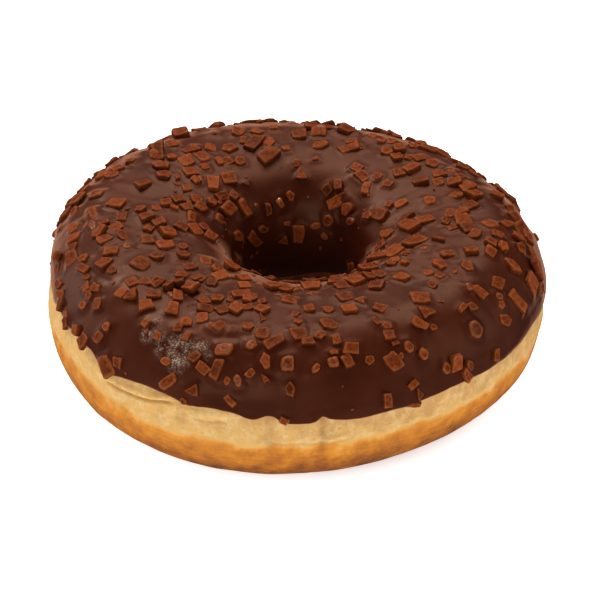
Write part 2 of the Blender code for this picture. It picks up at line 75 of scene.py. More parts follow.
# The icing's edges as the solid has them
EDGE_HEIGHT = 0.0164
EDGE_SLOPE = 0.0019
EDGE_LOW_SIDE = math.radians(-10)
EDGE_WAVES = ((5, 0.00035, 1.1), (9, 0.00030, 4.0), (14, 0.00022, 2.2))
NOTCHES = ((265.5, 2.2, 0.0013), (277.3, 1.4, 0.0016), (228.0, 3.0, -0.0010), (253.5, 2.0, 0.0007))
INNER_EDGE_HEIGHT = 0.0097
INNER_EDGE_WAVES = ((2, 0.00080, 0.6), (5, 0.00050, 3.0))
BARE_INSET = 0.0001
ICED_INSET = 0.0013
GAP = 0.0003
LIP_THICKNESS = 0.0004
ICING_THICKNESS = 0.0008
LIP_WIDTH = 0.0040

# The lobes and notches of the front edge in the photo: angle in degrees, height in mm
FRONT_EDGE = (
    (192, 18.9), (205, 18.3), (217, 18.1), (222, 16.5), (226, 17.0), (236, 17.8), (241, 17.6), (247, 16.9),
    (253, 17.1), (258, 16.6), (262, 15.9), (264.6, 16.6), (266.2, 16.5), (268.3, 15.5), (272, 15.1),
    (275.8, 15.3), (277.2, 16.2), (278.8, 15.6), (282, 14.9), (290, 14.8), (302, 14.9), (312, 15.2),
    (324, 14.6), (336, 14.6), (344, 15.2), (350, 14.6),
)
FRONT_FADE = 6.0
EDGE_RAGGED = 0.00010

# Chocolate pieces, as the solid has them
PIECE_SEED = 7
PIECE_THICKNESS = (0.0010, 0.0016)
PIECE_TILT = math.radians(10)
PIECE_SUNK = 0.0005
LEAST_SUNK = 0.00035
LONGEST_PIECE = 0.0048
WIDEST_PIECE = 0.0034
SHORTEST_PIECE = 0.0014
MELTED_SOFTNESS = 0.62
RAISED_LIFT = 0.0004
RAISED_TILT = (math.radians(12), math.radians(32))

# The largest pieces as the photo shows them, in its pixels: both ends of the long axis, the width across it,
# and the number of sides
LARGE_PIECES = (
    (103, 176, 119, 169, 6, 5), (136, 186, 149, 179, 8, 4), (69, 198, 83, 197, 9, 4),
    (69, 213, 79, 206, 9, 5), (108, 200, 127, 203, 8, 4), (68, 229, 78, 224, 9, 5),
    (111, 226, 123, 221, 8, 4), (142, 217, 155, 214, 9, 4), (159, 231, 177, 231, 9, 4),
    (141, 238, 156, 238, 8, 4), (157, 243, 177, 241, 8, 4), (67, 239, 79, 234, 9, 5),
    (64, 259, 75, 252, 11, 4), (103, 250, 118, 249, 7, 4), (97, 266, 109, 256, 9, 4),
    (107, 269, 118, 265, 9, 5), (135, 266, 147, 258, 12, 4), (149, 254, 166, 256, 8, 5),
    (157, 172, 171, 176, 9, 5), (77, 264, 88, 269, 9, 4), (204, 145, 217, 145, 9, 4),
    (222, 147, 238, 144, 9, 5), (232, 127, 244, 132, 8, 5), (248, 149, 262, 135, 9, 4),
    (263, 138, 274, 143, 9, 5), (262, 160, 277, 149, 11, 4), (179, 160, 195, 157, 10, 4),
    (197, 150, 207, 160, 9, 4), (234, 160, 247, 160, 8, 5), (223, 177, 237, 176, 12, 4),
    (214, 174, 215, 189, 12, 4), (184, 171, 198, 169, 8, 4), (192, 179, 204, 179, 9, 5),
    (174, 198, 187, 196, 8, 4), (190, 195, 204, 201, 9, 5), (207, 198, 217, 204, 9, 5),
    (217, 197, 231, 193, 8, 4), (223, 215, 236, 203, 13, 4), (242, 201, 250, 217, 9, 4),
    (196, 206, 210, 206, 10, 5), (177, 223, 189, 228, 8, 4), (190, 229, 201, 227, 9, 4),
    (178, 255, 189, 250, 10, 5), (177, 275, 189, 270, 10, 5), (207, 283, 217, 278, 9, 5),
    (215, 275, 229, 272, 9, 4), (231, 293, 250, 289, 7, 4), (213, 299, 224, 293, 9, 5),
    (197, 306, 214, 307, 7, 4), (216, 309, 229, 304, 9, 4), (232, 309, 243, 301, 8, 4),
    (242, 305, 254, 304, 11, 4), (196, 314, 209, 315, 8, 4), (170, 313, 175, 302, 11, 4),
    (174, 329, 183, 320, 9, 5), (256, 303, 267, 309, 8, 4), (266, 284, 281, 284, 8, 4),
    (272, 282, 291, 289, 6, 4), (281, 297, 298, 298, 7, 4), (214, 327, 224, 320, 9, 4),
    (242, 326, 254, 321, 9, 5), (234, 233, 245, 239, 9, 5), (250, 235, 260, 246, 10, 4),
    (278, 244, 291, 238, 9, 3), (298, 225, 298, 243, 11, 4), (291, 161, 302, 164, 10, 5),
    (302, 168, 302, 182, 14, 3), (289, 191, 291, 203, 9, 5), (292, 133, 307, 132, 9, 4),
    (310, 131, 326, 131, 7, 4), (340, 127, 353, 131, 8, 4), (312, 146, 328, 141, 8, 5),
    (338, 149, 360, 144, 6, 4), (393, 147, 406, 147, 8, 4), (390, 157, 402, 155, 10, 4),
    (356, 170, 366, 178, 10, 4), (370, 173, 384, 174, 8, 5), (391, 171, 404, 169, 11, 4),
    (405, 163, 416, 171, 11, 4), (382, 179, 392, 184, 9, 5), (321, 195, 331, 186, 9, 4),
    (338, 178, 338, 191, 8, 4), (327, 207, 345, 195, 12, 4), (340, 212, 352, 204, 12, 5),
    (361, 219, 369, 211, 9, 5), (369, 209, 385, 217, 12, 4), (400, 221, 415, 229, 11, 4),
    (405, 243, 423, 234, 11, 4), (371, 248, 382, 240, 9, 4), (369, 256, 385, 251, 8, 4),
    (385, 253, 400, 244, 8, 4), (386, 263, 397, 256, 8, 5), (359, 269, 374, 262, 9, 4),
    (391, 270, 408, 277, 10, 5), (368, 282, 383, 283, 9, 4), (346, 281, 361, 275, 7, 4),
    (328, 282, 343, 277, 7, 5), (337, 295, 352, 292, 8, 4), (341, 307, 357, 306, 12, 4),
    (372, 304, 386, 306, 9, 4), (381, 322, 394, 323, 8, 5), (383, 333, 395, 333, 12, 4),
    (319, 319, 339, 325, 10, 5), (289, 333, 308, 329, 11, 4), (313, 334, 327, 330, 7, 5),
    (301, 340, 315, 338, 9, 4), (404, 340, 413, 350, 11, 5), (426, 164, 438, 160, 12, 5),
    (431, 173, 445, 170, 8, 4), (432, 181, 444, 180, 11, 4), (413, 180, 429, 179, 7, 4),
    (446, 180, 461, 181, 8, 4), (461, 188, 474, 183, 9, 4), (448, 194, 465, 193, 7, 5),
    (467, 195, 480, 191, 8, 4), (423, 200, 436, 198, 11, 4), (464, 205, 477, 201, 10, 4),
    (443, 213, 456, 208, 11, 5), (454, 220, 471, 216, 9, 4), (417, 221, 432, 215, 8, 4),
    (460, 228, 474, 224, 8, 4), (484, 217, 494, 225, 11, 4), (491, 229, 504, 236, 8, 5),
    (431, 238, 445, 238, 10, 3), (485, 239, 497, 243, 9, 4), (492, 190, 505, 198, 8, 4),
    (517, 227, 529, 226, 9, 4), (514, 233, 527, 238, 9, 5), (517, 243, 527, 250, 9, 5),
    (440, 253, 454, 249, 7, 4), (464, 250, 478, 247, 8, 4), (433, 257, 444, 266, 11, 5),
    (463, 259, 471, 269, 10, 5), (476, 284, 487, 295, 8, 4), (493, 279, 505, 284, 11, 4),
    (511, 289, 528, 309, 8, 4), (510, 254, 518, 273, 7, 4), (533, 260, 544, 275, 7, 4),
    (529, 274, 539, 290, 10, 4), (411, 296, 430, 296, 11, 4), (418, 304, 434, 318, 12, 3),
    (411, 317, 428, 325, 7, 4), (503, 313, 513, 324, 9, 5), (115, 296, 123, 286, 10, 4),
    (122, 297, 141, 291, 13, 3), (146, 293, 160, 292, 10, 4), (139, 305, 152, 301, 11, 4),
    (77, 334, 83, 345, 9, 4), (100, 357, 107, 379, 11, 4), (116, 354, 115, 368, 8, 4),
    (189, 360, 200, 351, 9, 4), (196, 361, 208, 372, 9, 4), (221, 355, 212, 380, 11, 4),
    (161, 386, 176, 375, 12, 4), (185, 392, 203, 388, 14, 3), (255, 331, 270, 330, 12, 4),
    (263, 346, 283, 335, 10, 4), (264, 351, 267, 369, 12, 5), (290, 381, 291, 398, 10, 5),
    (343, 347, 359, 346, 11, 4), (345, 353, 352, 366, 11, 4), (311, 373, 320, 363, 8, 5),
    (366, 360, 376, 358, 10, 5), (388, 352, 401, 370, 13, 4), (421, 344, 427, 358, 10, 5),
    (446, 361, 450, 375, 9, 5), (457, 354, 459, 372, 11, 4), (417, 387, 424, 401, 9, 3),
    (386, 393, 388, 408, 9, 4), (52, 254, 59, 255, 8, 4), (51, 269, 57, 264, 8, 5),
    (53, 281, 58, 285, 8, 5),
)

# Pieces that have melted to shiny pebbles
MELTED_PIECES = (
    (89, 193, 101, 191, 9, 4), (90, 218, 93, 228, 8, 5), (121, 244, 132, 244, 9, 5),
    (277, 199, 284, 209, 6, 4), (169, 289, 174, 296, 7, 5), (208, 320, 214, 325, 6, 5),
    (323, 216, 332, 229, 12, 5), (309, 229, 321, 227, 8, 5), (343, 223, 353, 220, 9, 5),
    (417, 246, 428, 247, 9, 5), (465, 285, 474, 284, 7, 4), (497, 294, 506, 296, 8, 5),
    (469, 324, 484, 331, 15, 5), (158, 359, 171, 361, 10, 5), (213, 347, 234, 347, 11, 4),
    (236, 372, 238, 387, 10, 5), (245, 345, 258, 339, 10, 5), (287, 353, 288, 371, 12, 4),
    (328, 361, 341, 360, 11, 4), (401, 350, 403, 359, 7, 5), (319, 235, 329, 238, 7, 5),
)

# Pieces that lean on others or stand up from the icing
RAISED_PIECES = (
    (172, 135, 188, 131, 12, 4), (95, 235, 108, 227, 6, 4), (149, 150, 160, 147, 7, 4),
    (150, 156, 160, 152, 9, 5), (160, 145, 161, 158, 6, 4), (153, 163, 171, 166, 6, 5),
    (168, 289, 174, 281, 7, 4), (173, 281, 187, 283, 7, 5), (177, 289, 178, 300, 6, 4),
    (186, 284, 199, 291, 9, 4),
)

# Pieces of the same kind where the photo doesn't show the ring
HIDDEN_COUNT = 45
HIDDEN_LENGTH = (0.0027, 0.0040)
HIDDEN_SLENDERNESS = (0.60, 1.00)
HIDDEN_SPACING = 0.80
HIDDEN_SIDES = (4, 4, 4, 5, 3)
EDGE_MARGIN = 0.0016

# Smaller pieces that the photo shows, which only the scene has
SMALL_PIECES = (
    (126, 159, 136, 157, 6, 4), (114, 164, 121, 167, 6, 4), (97, 174, 107, 171, 5, 4),
    (80, 189, 88, 185, 6, 5), (62, 217, 67, 205, 6, 4), (91, 206, 94, 217, 7, 4), (98, 223, 109, 219, 6, 4),
    (96, 241, 110, 234, 6, 4), (119, 228, 127, 237, 8, 5), (117, 214, 129, 214, 7, 4),
    (136, 209, 149, 206, 6, 5), (152, 207, 164, 206, 5, 5), (154, 222, 167, 219, 6, 4),
    (144, 225, 154, 228, 6, 4), (67, 248, 76, 243, 8, 4), (77, 256, 88, 256, 7, 5),
    (57, 230, 59, 225, 3, 4), (211, 132, 218, 130, 6, 3), (166, 144, 177, 142, 5, 4),
    (191, 145, 199, 144, 7, 5), (243, 135, 242, 143, 6, 4), (251, 129, 263, 132, 5, 4),
    (281, 148, 290, 147, 8, 4), (270, 126, 279, 126, 4, 4), (184, 152, 200, 148, 5, 4),
    (203, 161, 207, 169, 9, 5), (168, 159, 176, 154, 9, 5), (218, 156, 221, 163, 6, 4),
    (224, 156, 232, 163, 7, 4), (177, 172, 178, 179, 5, 4), (242, 182, 252, 183, 5, 3),
    (182, 186, 192, 186, 7, 4), (175, 181, 182, 182, 4, 5), (231, 190, 239, 197, 8, 4),
    (219, 203, 225, 202, 4, 5), (171, 203, 180, 208, 6, 5), (182, 205, 193, 204, 7, 4),
    (161, 201, 173, 201, 7, 4), (191, 210, 192, 220, 7, 4), (203, 222, 210, 230, 6, 4),
    (207, 231, 218, 239, 5, 4), (217, 215, 226, 220, 7, 4), (225, 222, 230, 225, 4, 3),
    (179, 244, 190, 245, 7, 5), (201, 257, 214, 259, 7, 4), (183, 266, 197, 264, 6, 4),
    (211, 265, 224, 268, 5, 5), (193, 273, 200, 278, 6, 4), (200, 279, 206, 273, 5, 4),
    (231, 260, 237, 270, 5, 5), (232, 274, 240, 275, 6, 4), (240, 273, 248, 278, 5, 4),
    (239, 283, 251, 282, 8, 4), (240, 297, 253, 297, 5, 4), (227, 297, 235, 294, 6, 5),
    (252, 290, 256, 297, 5, 4), (199, 289, 207, 288, 6, 5), (200, 300, 210, 296, 8, 4),
    (180, 320, 192, 319, 7, 4), (259, 311, 264, 320, 7, 3), (260, 281, 267, 282, 4, 5),
    (283, 284, 299, 289, 5, 4), (279, 292, 291, 294, 5, 5), (258, 299, 267, 298, 4, 4),
    (229, 324, 237, 326, 6, 5), (259, 229, 270, 233, 8, 5), (283, 225, 291, 224, 5, 4),
    (268, 204, 270, 217, 6, 4), (303, 124, 318, 124, 5, 4), (323, 125, 335, 126, 5, 5),
    (345, 141, 358, 139, 4, 4), (357, 147, 364, 145, 5, 4), (368, 133, 376, 135, 4, 4),
    (376, 139, 385, 139, 6, 4), (386, 138, 395, 140, 7, 4), (380, 151, 392, 147, 7, 5),
    (409, 144, 418, 144, 8, 4), (404, 154, 412, 158, 6, 5), (412, 158, 425, 155, 6, 4),
    (311, 159, 319, 156, 5, 3), (351, 164, 363, 167, 8, 4), (366, 180, 364, 192, 8, 4),
    (383, 204, 392, 200, 7, 5), (393, 204, 406, 198, 6, 4), (401, 218, 414, 212, 5, 5),
    (379, 237, 389, 230, 7, 5), (400, 252, 409, 250, 6, 4), (400, 259, 409, 259, 6, 5),
    (371, 270, 384, 273, 7, 5), (351, 275, 365, 270, 5, 4), (362, 276, 375, 272, 6, 4),
    (335, 285, 350, 281, 5, 4), (301, 284, 319, 283, 5, 4), (309, 291, 317, 291, 8, 5),
    (354, 298, 367, 297, 7, 3), (304, 306, 316, 306, 8, 4), (322, 308, 333, 306, 7, 5),
    (372, 315, 380, 322, 5, 4), (331, 339, 341, 336, 8, 4), (293, 311, 299, 312, 5, 4),
    (294, 320, 303, 317, 6, 5), (393, 343, 400, 341, 5, 4), (421, 144, 436, 149, 5, 4),
    (440, 153, 446, 150, 7, 4), (449, 157, 458, 159, 5, 4), (446, 169, 456, 170, 6, 5),
    (456, 173, 464, 177, 6, 4), (456, 210, 468, 207, 6, 4), (440, 221, 450, 218, 9, 5),
    (446, 227, 457, 224, 5, 4), (468, 230, 479, 234, 8, 4), (485, 247, 497, 252, 7, 4),
    (501, 240, 507, 250, 7, 5), (504, 223, 513, 221, 6, 4), (506, 203, 515, 208, 7, 5),
    (513, 217, 523, 214, 8, 4), (529, 231, 531, 240, 5, 4), (530, 244, 537, 255, 7, 5),
    (455, 162, 468, 167, 5, 4), (471, 169, 480, 175, 3, 4), (425, 266, 431, 273, 8, 5),
    (435, 271, 444, 276, 6, 4), (452, 269, 457, 269, 4, 5), (428, 279, 437, 284, 8, 5),
    (501, 300, 507, 307, 8, 5), (541, 281, 546, 293, 7, 5), (461, 310, 467, 302, 7, 4),
    (471, 300, 477, 308, 7, 4), (431, 326, 439, 327, 7, 5), (79, 273, 89, 276, 7, 5),
    (81, 287, 89, 281, 7, 4), (90, 284, 99, 286, 8, 4), (85, 290, 89, 297, 7, 5),
    (127, 281, 138, 276, 8, 4), (140, 278, 154, 280, 5, 4), (153, 283, 162, 278, 7, 4),
    (143, 319, 150, 323, 9, 4), (78, 304, 85, 304, 8, 5), (97, 297, 95, 310, 6, 4),
    (55, 291, 61, 292, 8, 4), (56, 297, 60, 308, 8, 5), (61, 316, 64, 310, 6, 5), (59, 324, 63, 317, 6, 4),
    (69, 327, 78, 330, 10, 4), (101, 325, 110, 326, 10, 5), (94, 341, 100, 332, 8, 4),
    (153, 334, 162, 335, 10, 5), (184, 340, 191, 331, 6, 4), (178, 400, 187, 403, 7, 5),
    (226, 375, 227, 384, 8, 5), (246, 375, 253, 368, 8, 4), (225, 396, 235, 406, 5, 4),
    (261, 373, 270, 383, 7, 3), (280, 417, 289, 422, 7, 4), (328, 349, 340, 350, 6, 5),
    (468, 360, 475, 368, 9, 5), (465, 371, 472, 380, 8, 4), (410, 389, 419, 381, 7, 4),
    (410, 408, 422, 406, 5, 4), (499, 348, 496, 361, 6, 4), (378, 234, 386, 230, 5, 4),
    (384, 233, 390, 228, 5, 4), (374, 246, 383, 241, 7, 5), (370, 256, 379, 251, 7, 4),
    (379, 255, 387, 250, 6, 4), (388, 249, 395, 245, 6, 5), (401, 253, 408, 249, 5, 4),
    (388, 259, 397, 256, 6, 4), (412, 236, 419, 233, 5, 4), (399, 262, 407, 258, 6, 5),
    (366, 262, 373, 259, 5, 4), (357, 268, 365, 265, 5, 4),
)

# More pieces where the photo doesn't show the ring, and crumbs
FILL_SEED = 19
FILL_COUNT = 190
FILL_LENGTH = (0.0016, 0.0030)
FILL_SPACING = 0.55
CRUMB_COUNT = 150
CRUMB_LENGTH = (0.0004, 0.0010)
CRUMB_SLENDERNESS = (0.6, 1.0)
CRUMB_THICKNESS = (0.6, 0.9)
CRUMB_MARGINS = (0.0008, 0.0010)

# How many of the pieces that haven't melted are a little soft, and how soft
SOFT_SHARE = 0.16
SLIGHTLY_SOFT = (0.2, 0.5)

# The visible pieces beside the solid's: a little wider, and flatter by what has sunk and worn away
WIDER_QUAD = 1.12
WIDER = 1.03
FLATTER = 0.80

# Mesh of a visible piece: rounding of its corners and rim, slope and dome of its top. A SOFT_ value is what a
# fully soft piece has in addition.
CORNER_ROUNDING = 0.11
SOFT_CORNER_ROUNDING = 0.30
RIM = 0.00022
SOFT_RIM = 0.0003
TOP_RISE = 0.14
DOME = 0.10
SOFT_DOME = 0.25

# Its broken skin: height and size of coarse and fine lumps, and how much of the fine ones a soft piece loses
COARSE_LUMPS = (0.00014, 0.0014)
FINE_LUMPS = (0.00017, 0.00062)
SOFT_SMOOTHING = 0.7

# The angle from which an edge of a piece is sharp, and the mean and spread of the pieces' tones
PIECE_CREASE = math.radians(58)
TONE = (0.5, 0.2)

# How high the icing creeps up a piece and how far out it starts, and what a fully soft piece has in addition
CREEP_RISE = (0.00010, 0.00030)
SOFT_CREEP_RISE = 0.00024
CREEP_REACH = (0.00045, 0.00085)
SOFT_CREEP_REACH = 0.0004

# Fineness of the meshes: sectors round the ring, step and extent of the icing's rows, and rows of its edges
# and back. The dough's rows each have a girth to start at and a step, which is fine where the dough shows.
SECTORS = 720
ICING_ROW = 0.00038
ICED_SHARE = 0.53
BEAD_ROWS = 7
BACK_ROWS = 22
DOUGH_ROWS = ((0.0, 0.0010), (0.004, 0.00026), (0.0262, 0.0030), (0.0740, 0.0006), (0.0960, 0.0010))
LAST_ROW = 0.0005

# The photo: where it was taken from, its size, and its focal length in pixels
VIEW_RISE = math.radians(32.5)
VIEW_AWAY = 14.0 * OUTER_RADIUS
VIEW_AIM = (0.0199 * OUTER_RADIUS + CENTRE[0], CENTRE[1], 0.2845 * OUTER_RADIUS)
VIEW_BACK = Vector((0.0, -math.cos(VIEW_RISE), math.sin(VIEW_RISE)))
EYE = Vector(VIEW_AIM) + VIEW_BACK * VIEW_AWAY
PHOTO_SIDE = 592
PHOTO_FOCAL = 3423.0
CAMERA_SENSOR = 36.0

# Lines of sight: the mesh that they meet, how far the tops of the pieces are above the skin, and for a place
# that shows, how far it faces the camera and how near to it its line of sight meets the ring
VIEW_SECTORS = 480
VIEW_ROW = 0.0003
PIECE_EYE_HEIGHT = 0.0006
LEAST_FACING = 0.03
SAME_PLACE = 0.0015

# A pixel whose line of sight misses the ring is moved inwards: by how much at a time, and how often
NUDGE = 0.5
NUDGES = 40


# The ring's form, as the solids have it

def superellipse(value, roundness):
    """One coordinate of a unit superellipse, from a cosine or sine."""
    return np.sign(value) * np.abs(value) ** (2.0 / roundness)


def degrees_from(angle, middle):
    """Degrees from a middle, the short way round."""
    return (np.degrees(angle) - middle + 180.0) % 360.0 - 180.0


def outer_radius(angle):
    uneven = OVAL * np.cos(2 * angle) + LOPSIDED_X * np.cos(3 * angle) + LOPSIDED_Y * np.sin(3 * angle)
    return OUTER_RADIUS * (1.0 + uneven)


def hole_radius(angle):
    return HOLE_RADIUS + HOLE_SHIFT_X * np.cos(angle) + HOLE_SHIFT_Y * np.sin(angle)


def crown_height(angle):
    return HEIGHT * (1.0 + LEAN_X * np.cos(angle) + LEAN_Y * np.sin(angle))


def section(turn, outer, hole, height):
    """Radius and height at a turn: 0 is the outer side, a quarter turn the crest, a half turn the hole."""
    side = np.cos(turn)
    rise = np.sin(turn)
    shoulder = np.where(side > 0, OUTER_SHOULDER, INNER_SHOULDER)
    roundness = np.where(rise > 0, shoulder, UNDERSIDE)
    crest = hole + (outer - hole) * (CREST_RADIUS - HOLE_RADIUS) / (OUTER_RADIUS - HOLE_RADIUS)
    reach = np.where(side > 0, outer - crest, crest - hole)
    climb = np.where(rise > 0, height - WAIST_HEIGHT, WAIST_HEIGHT)
    radius = crest + reach * superellipse(side, roundness)
    return radius, WAIST_HEIGHT + climb * superellipse(rise, roundness) - BASE_CUT


def girth_table():
    """Turns and the girths that they reach on the mean section."""
    turns = np.linspace(-0.5 * np.pi, 1.5 * np.pi, 4001)
    radius, height = section(turns, OUTER_RADIUS, HOLE_RADIUS, HEIGHT)
    steps = np.hypot(np.diff(radius), np.diff(height))
    return turns, np.concatenate([[0.0], np.cumsum(steps)])


TURNS, GIRTHS = girth_table()
FULL_GIRTH = float(GIRTHS[-1])


def swell(angle, girth):
    """Low swells of the dough, which die out towards the flat foot."""
    draw = random.Random(SWELL_SEED)
    way = 2 * np.pi * girth / FULL_GIRTH
    total = 0.0
    for round_turns, section_turns, height in SWELLS:
        phase = draw.uniform(0.0, 2 * np.pi)
        total = total + height * np.sin(round_turns * angle + section_turns * way + phase)
    return total * np.sin(0.5 * way) ** 2


def bare_skin(angle, girth):
    turn = np.interp(girth % FULL_GIRTH, GIRTHS, TURNS)
    radius, height = section(turn, outer_radius(angle), hole_radius(angle), crown_height(angle))
    return np.stack([radius * np.cos(angle) + CENTRE[0], radius * np.sin(angle) + CENTRE[1], height], axis=-1)


def skin_normal(angle, girth):
    """Outward direction of the skin, from neighbouring points on it."""
    step = 0.0002
    turn_step = step / OUTER_RADIUS
    along_ring = bare_skin(angle + turn_step, girth) - bare_skin(angle - turn_step, girth)
    along_section = bare_skin(angle, girth + step) - bare_skin(angle, girth - step)
    normal = np.cross(along_ring, along_section)
    return normal / np.linalg.norm(normal, axis=-1, keepdims=True)


def skin(angle, girth, offset):
    """Point at an offset outside the swelling skin of the ring."""
    angle, girth, offset = np.broadcast_arrays(angle, girth, offset)
    away = (swell(angle, girth) + offset)[..., None]
    return bare_skin(angle, girth) + skin_normal(angle, girth) * away


def girth_at_height(angle, height, inner):
    """Girth at which the skin reaches a height, on the outer side or in the hole."""
    above = height + BASE_CUT - WAIST_HEIGHT
    shoulder = INNER_SHOULDER if inner else OUTER_SHOULDER
    climb = np.where(above > 0, crown_height(angle) - WAIST_HEIGHT, WAIST_HEIGHT)
    roundness = np.where(above > 0, shoulder, UNDERSIDE)
    turn = np.sign(above) * np.arcsin(np.clip(np.abs(above) / climb, 0.0, 1.0) ** (roundness / 2.0))
    return np.interp(np.pi - turn if inner else turn, TURNS, GIRTHS)


def solid_edge_height(angle):
    """Height of the solid icing's wavy lower edge outside."""
    height = EDGE_HEIGHT - EDGE_SLOPE * np.cos(angle - EDGE_LOW_SIDE)
    for turns, wave, phase in EDGE_WAVES:
        height = height + wave * np.sin(turns * angle + phase)
    for middle, width, rise in NOTCHES:
        height = height + rise * np.exp(-((degrees_from(angle, middle) / width) ** 2))
    return height


def solid_outer_edge(angle):
    return girth_at_height(angle, solid_edge_height(angle), inner=False)


def inner_edge(angle):
    """Girth of the icing's edge inside the hole."""
    height = INNER_EDGE_HEIGHT + 0.0 * angle
    for turns, wave, phase in INNER_EDGE_WAVES:
        height = height + wave * np.sin(turns * angle + phase)
    return girth_at_height(angle, height, inner=True)


def icing_thickness(from_edge):
    """Thickness at a distance from the nearest edge: a thin lip that fills out."""
    share = np.clip(from_edge / LIP_WIDTH, 0.0, 1.0)
    return LIP_THICKNESS + (ICING_THICKNESS - LIP_THICKNESS) * np.sin(share * np.pi / 2)


def dough_inset(girth):
    """Depth of the dough's own face under the skin: almost none where bare, the icing's room where iced."""
    level = np.sin(np.interp(girth % FULL_GIRTH, GIRTHS, TURNS))
    share = np.clip(0.5 + 2.5 * level, 0.0, 1.0)
    return BARE_INSET + (ICED_INSET - BARE_INSET) * share


def icing_inside(girth):
    """Offset of the solid icing's inner face from the skin."""
    return GAP - dough_inset(girth)


# Shared helpers

def smooth_step(value, low, high):
    share = np.clip((value - low) / (high - low), 0.0, 1.0)
    return share * share * (3.0 - 2.0 * share)


def window(value, first, last, fade_in, fade_out):
    """1 between two limits, and 0 at and outside them, with a fade inside each."""
    return smooth_step(value, first, first + fade_in) * smooth_step(-value, -last, fade_out - last)


def lumps(points, size, shift):
    """Smooth noise from about -1 to 1 at points, with lumps of the given size."""
    flat = np.asarray(points, float).reshape(-1, 3) / size + np.array([shift, 1.7 * shift, -0.6 * shift])
    values = [noise.noise(Vector(point)) for point in flat]
    return np.array(values).reshape(np.shape(points)[:-1])


def layers(points, rows):
    """Sum of layers of lumps, each with its height, size and shift."""
    total = 0.0
    for height, size, shift in rows:
        total = total + height * lumps(points, size, shift)
    return total


def ring_angles(count):
    return np.linspace(0.0, 2 * np.pi, count, endpoint=False)


def smooth_curve(at, xs, ys):
    """Value of a smooth curve through the points xs, ys."""
    xs = np.asarray(xs, float)
    ys = np.asarray(ys, float)
    slopes = np.gradient(ys, xs)
    place = np.clip(np.searchsorted(xs, at) - 1, 0, len(xs) - 2)
    span = xs[place + 1] - xs[place]
    share = np.clip((at - xs[place]) / span, 0.0, 1.0)
    rest = 1 - share
    start = ys[place] * (1 + 2 * share) * rest ** 2 + slopes[place] * span * share * rest ** 2
    finish = ys[place + 1] * share ** 2 * (3 - 2 * share) - slopes[place + 1] * span * share ** 2 * rest
    return start + finish


def ring_faces(ring_count, sectors):
    """Quads of a closed grid of rings, of which the last joins the first."""
    ring, sector = np.meshgrid(np.arange(ring_count), np.arange(sectors), indexing="ij")
    following = (ring + 1) % ring_count
    beside = (sector + 1) % sectors
    quads = [ring * sectors + sector, ring * sectors + beside, following * sectors + beside,
             following * sectors + sector]
    return np.stack(quads, axis=-1).reshape(-1, 4).tolist()


def make_object(name, points, faces, material, crease_angle=None):
    mesh = bpy.data.meshes.new(name)
    mesh.from_pydata(np.asarray(points).reshape(-1, 3).tolist(), [], [list(face) for face in faces])
    mesh.materials.append(material)
    mesh.shade_smooth()
    if crease_angle is not None:
        mesh.set_sharp_from_angle(angle=crease_angle)
    item = bpy.data.objects.new(name, mesh)
    bpy.context.scene.collection.objects.link(item)
    return item


def add_attribute(item, name, values):
    """Stores one number for each point, which the material reads."""
    layer = item.data.attributes.new(name, "FLOAT", "POINT")
    layer.data.foreach_set("value", np.asarray(values, np.float32).reshape(-1))


# Materials

def linear(red, green, blue):
    """A colour given as on screen, 0 to 255, as the shader wants it."""
    parts = [part / 255.0 for part in (red, green, blue)]
    parts = [part / 12.92 if part <= 0.04045 else ((part + 0.055) / 1.055) ** 2.4 for part in parts]
    return (*parts, 1.0)


def set_inputs(tree, item, inputs):
    """Links each input of a node to another's output, or sets its value."""
    for socket, value in inputs.items():
        if isinstance(value, bpy.types.NodeSocket):
            tree.links.new(value, item.inputs[socket])
        else:
            item.inputs[socket].default_value = value


def add_node(tree, kind, inputs=None, **settings):
    item = tree.nodes.new(kind)
    for name, value in settings.items():
        setattr(item, name, value)
    set_inputs(tree, item, inputs or {})
    return item


def attribute(tree, name):
    """Output of a number that a mesh stores for each point."""
    return add_node(tree, "ShaderNodeAttribute", attribute_name=name).outputs["Fac"]


def new_material(name):
    material = bpy.data.materials.new(name)
    material.use_nodes = True
    return material, material.node_tree, material.node_tree.nodes["Principled BSDF"]


def grain(tree, place, size, detail=3.0, roughness=0.5):
    """Noise with features of the given size in metres."""
    inputs = {"Vector": place, "Scale": 1.0 / size, "Detail": detail, "Roughness": roughness}
    return add_node(tree, "ShaderNodeTexNoise", inputs).outputs["Fac"]


def cells(tree, place, size):
    """Distance from the middles of scattered cells of the given size in metres."""
    inputs = {"Vector": place, "Scale": 1.0 / size}
    return add_node(tree, "ShaderNodeTexVoronoi", inputs).outputs["Distance"]


def math_node(tree, operation, first, second):
    return add_node(tree, "ShaderNodeMath", {0: first, 1: second}, operation=operation).outputs[0]


def remap(tree, value, low, high, to_low=0.0, to_high=1.0):
    inputs = {"Value": value, "From Min": low, "From Max": high, "To Min": to_low, "To Max": to_high}
    return add_node(tree, "ShaderNodeMapRange", inputs).outputs["Result"]


def ramp(tree, factor, stops):
    """Colours between stops of place and colour."""
    item = add_node(tree, "ShaderNodeValToRGB", {"Fac": factor})
    elements = item.color_ramp.elements
    while len(elements) < len(stops):
        elements.new(0.5)
    for element, (place, colour) in zip(elements, stops):
        element.position = place
        element.color = colour
    return item.outputs["Color"]


def mix_colour(tree, factor, first, second, blend="MIX"):
    item = add_node(tree, "ShaderNodeMix", data_type="RGBA", blend_type=blend)
    sockets = [socket for socket in item.inputs if socket.enabled]
    for socket, value in zip(sockets, (factor, first, second)):
        if isinstance(value, bpy.types.NodeSocket):
            tree.links.new(value, socket)
        else:
            socket.default_value = value
    return [socket for socket in item.outputs if socket.enabled][0]


def spread(tree, fac, low, high):
    """Noise, which is mostly between 0.3 and 0.7, spread over a range."""
    return remap(tree, fac, 0.3, 0.7, low, high)


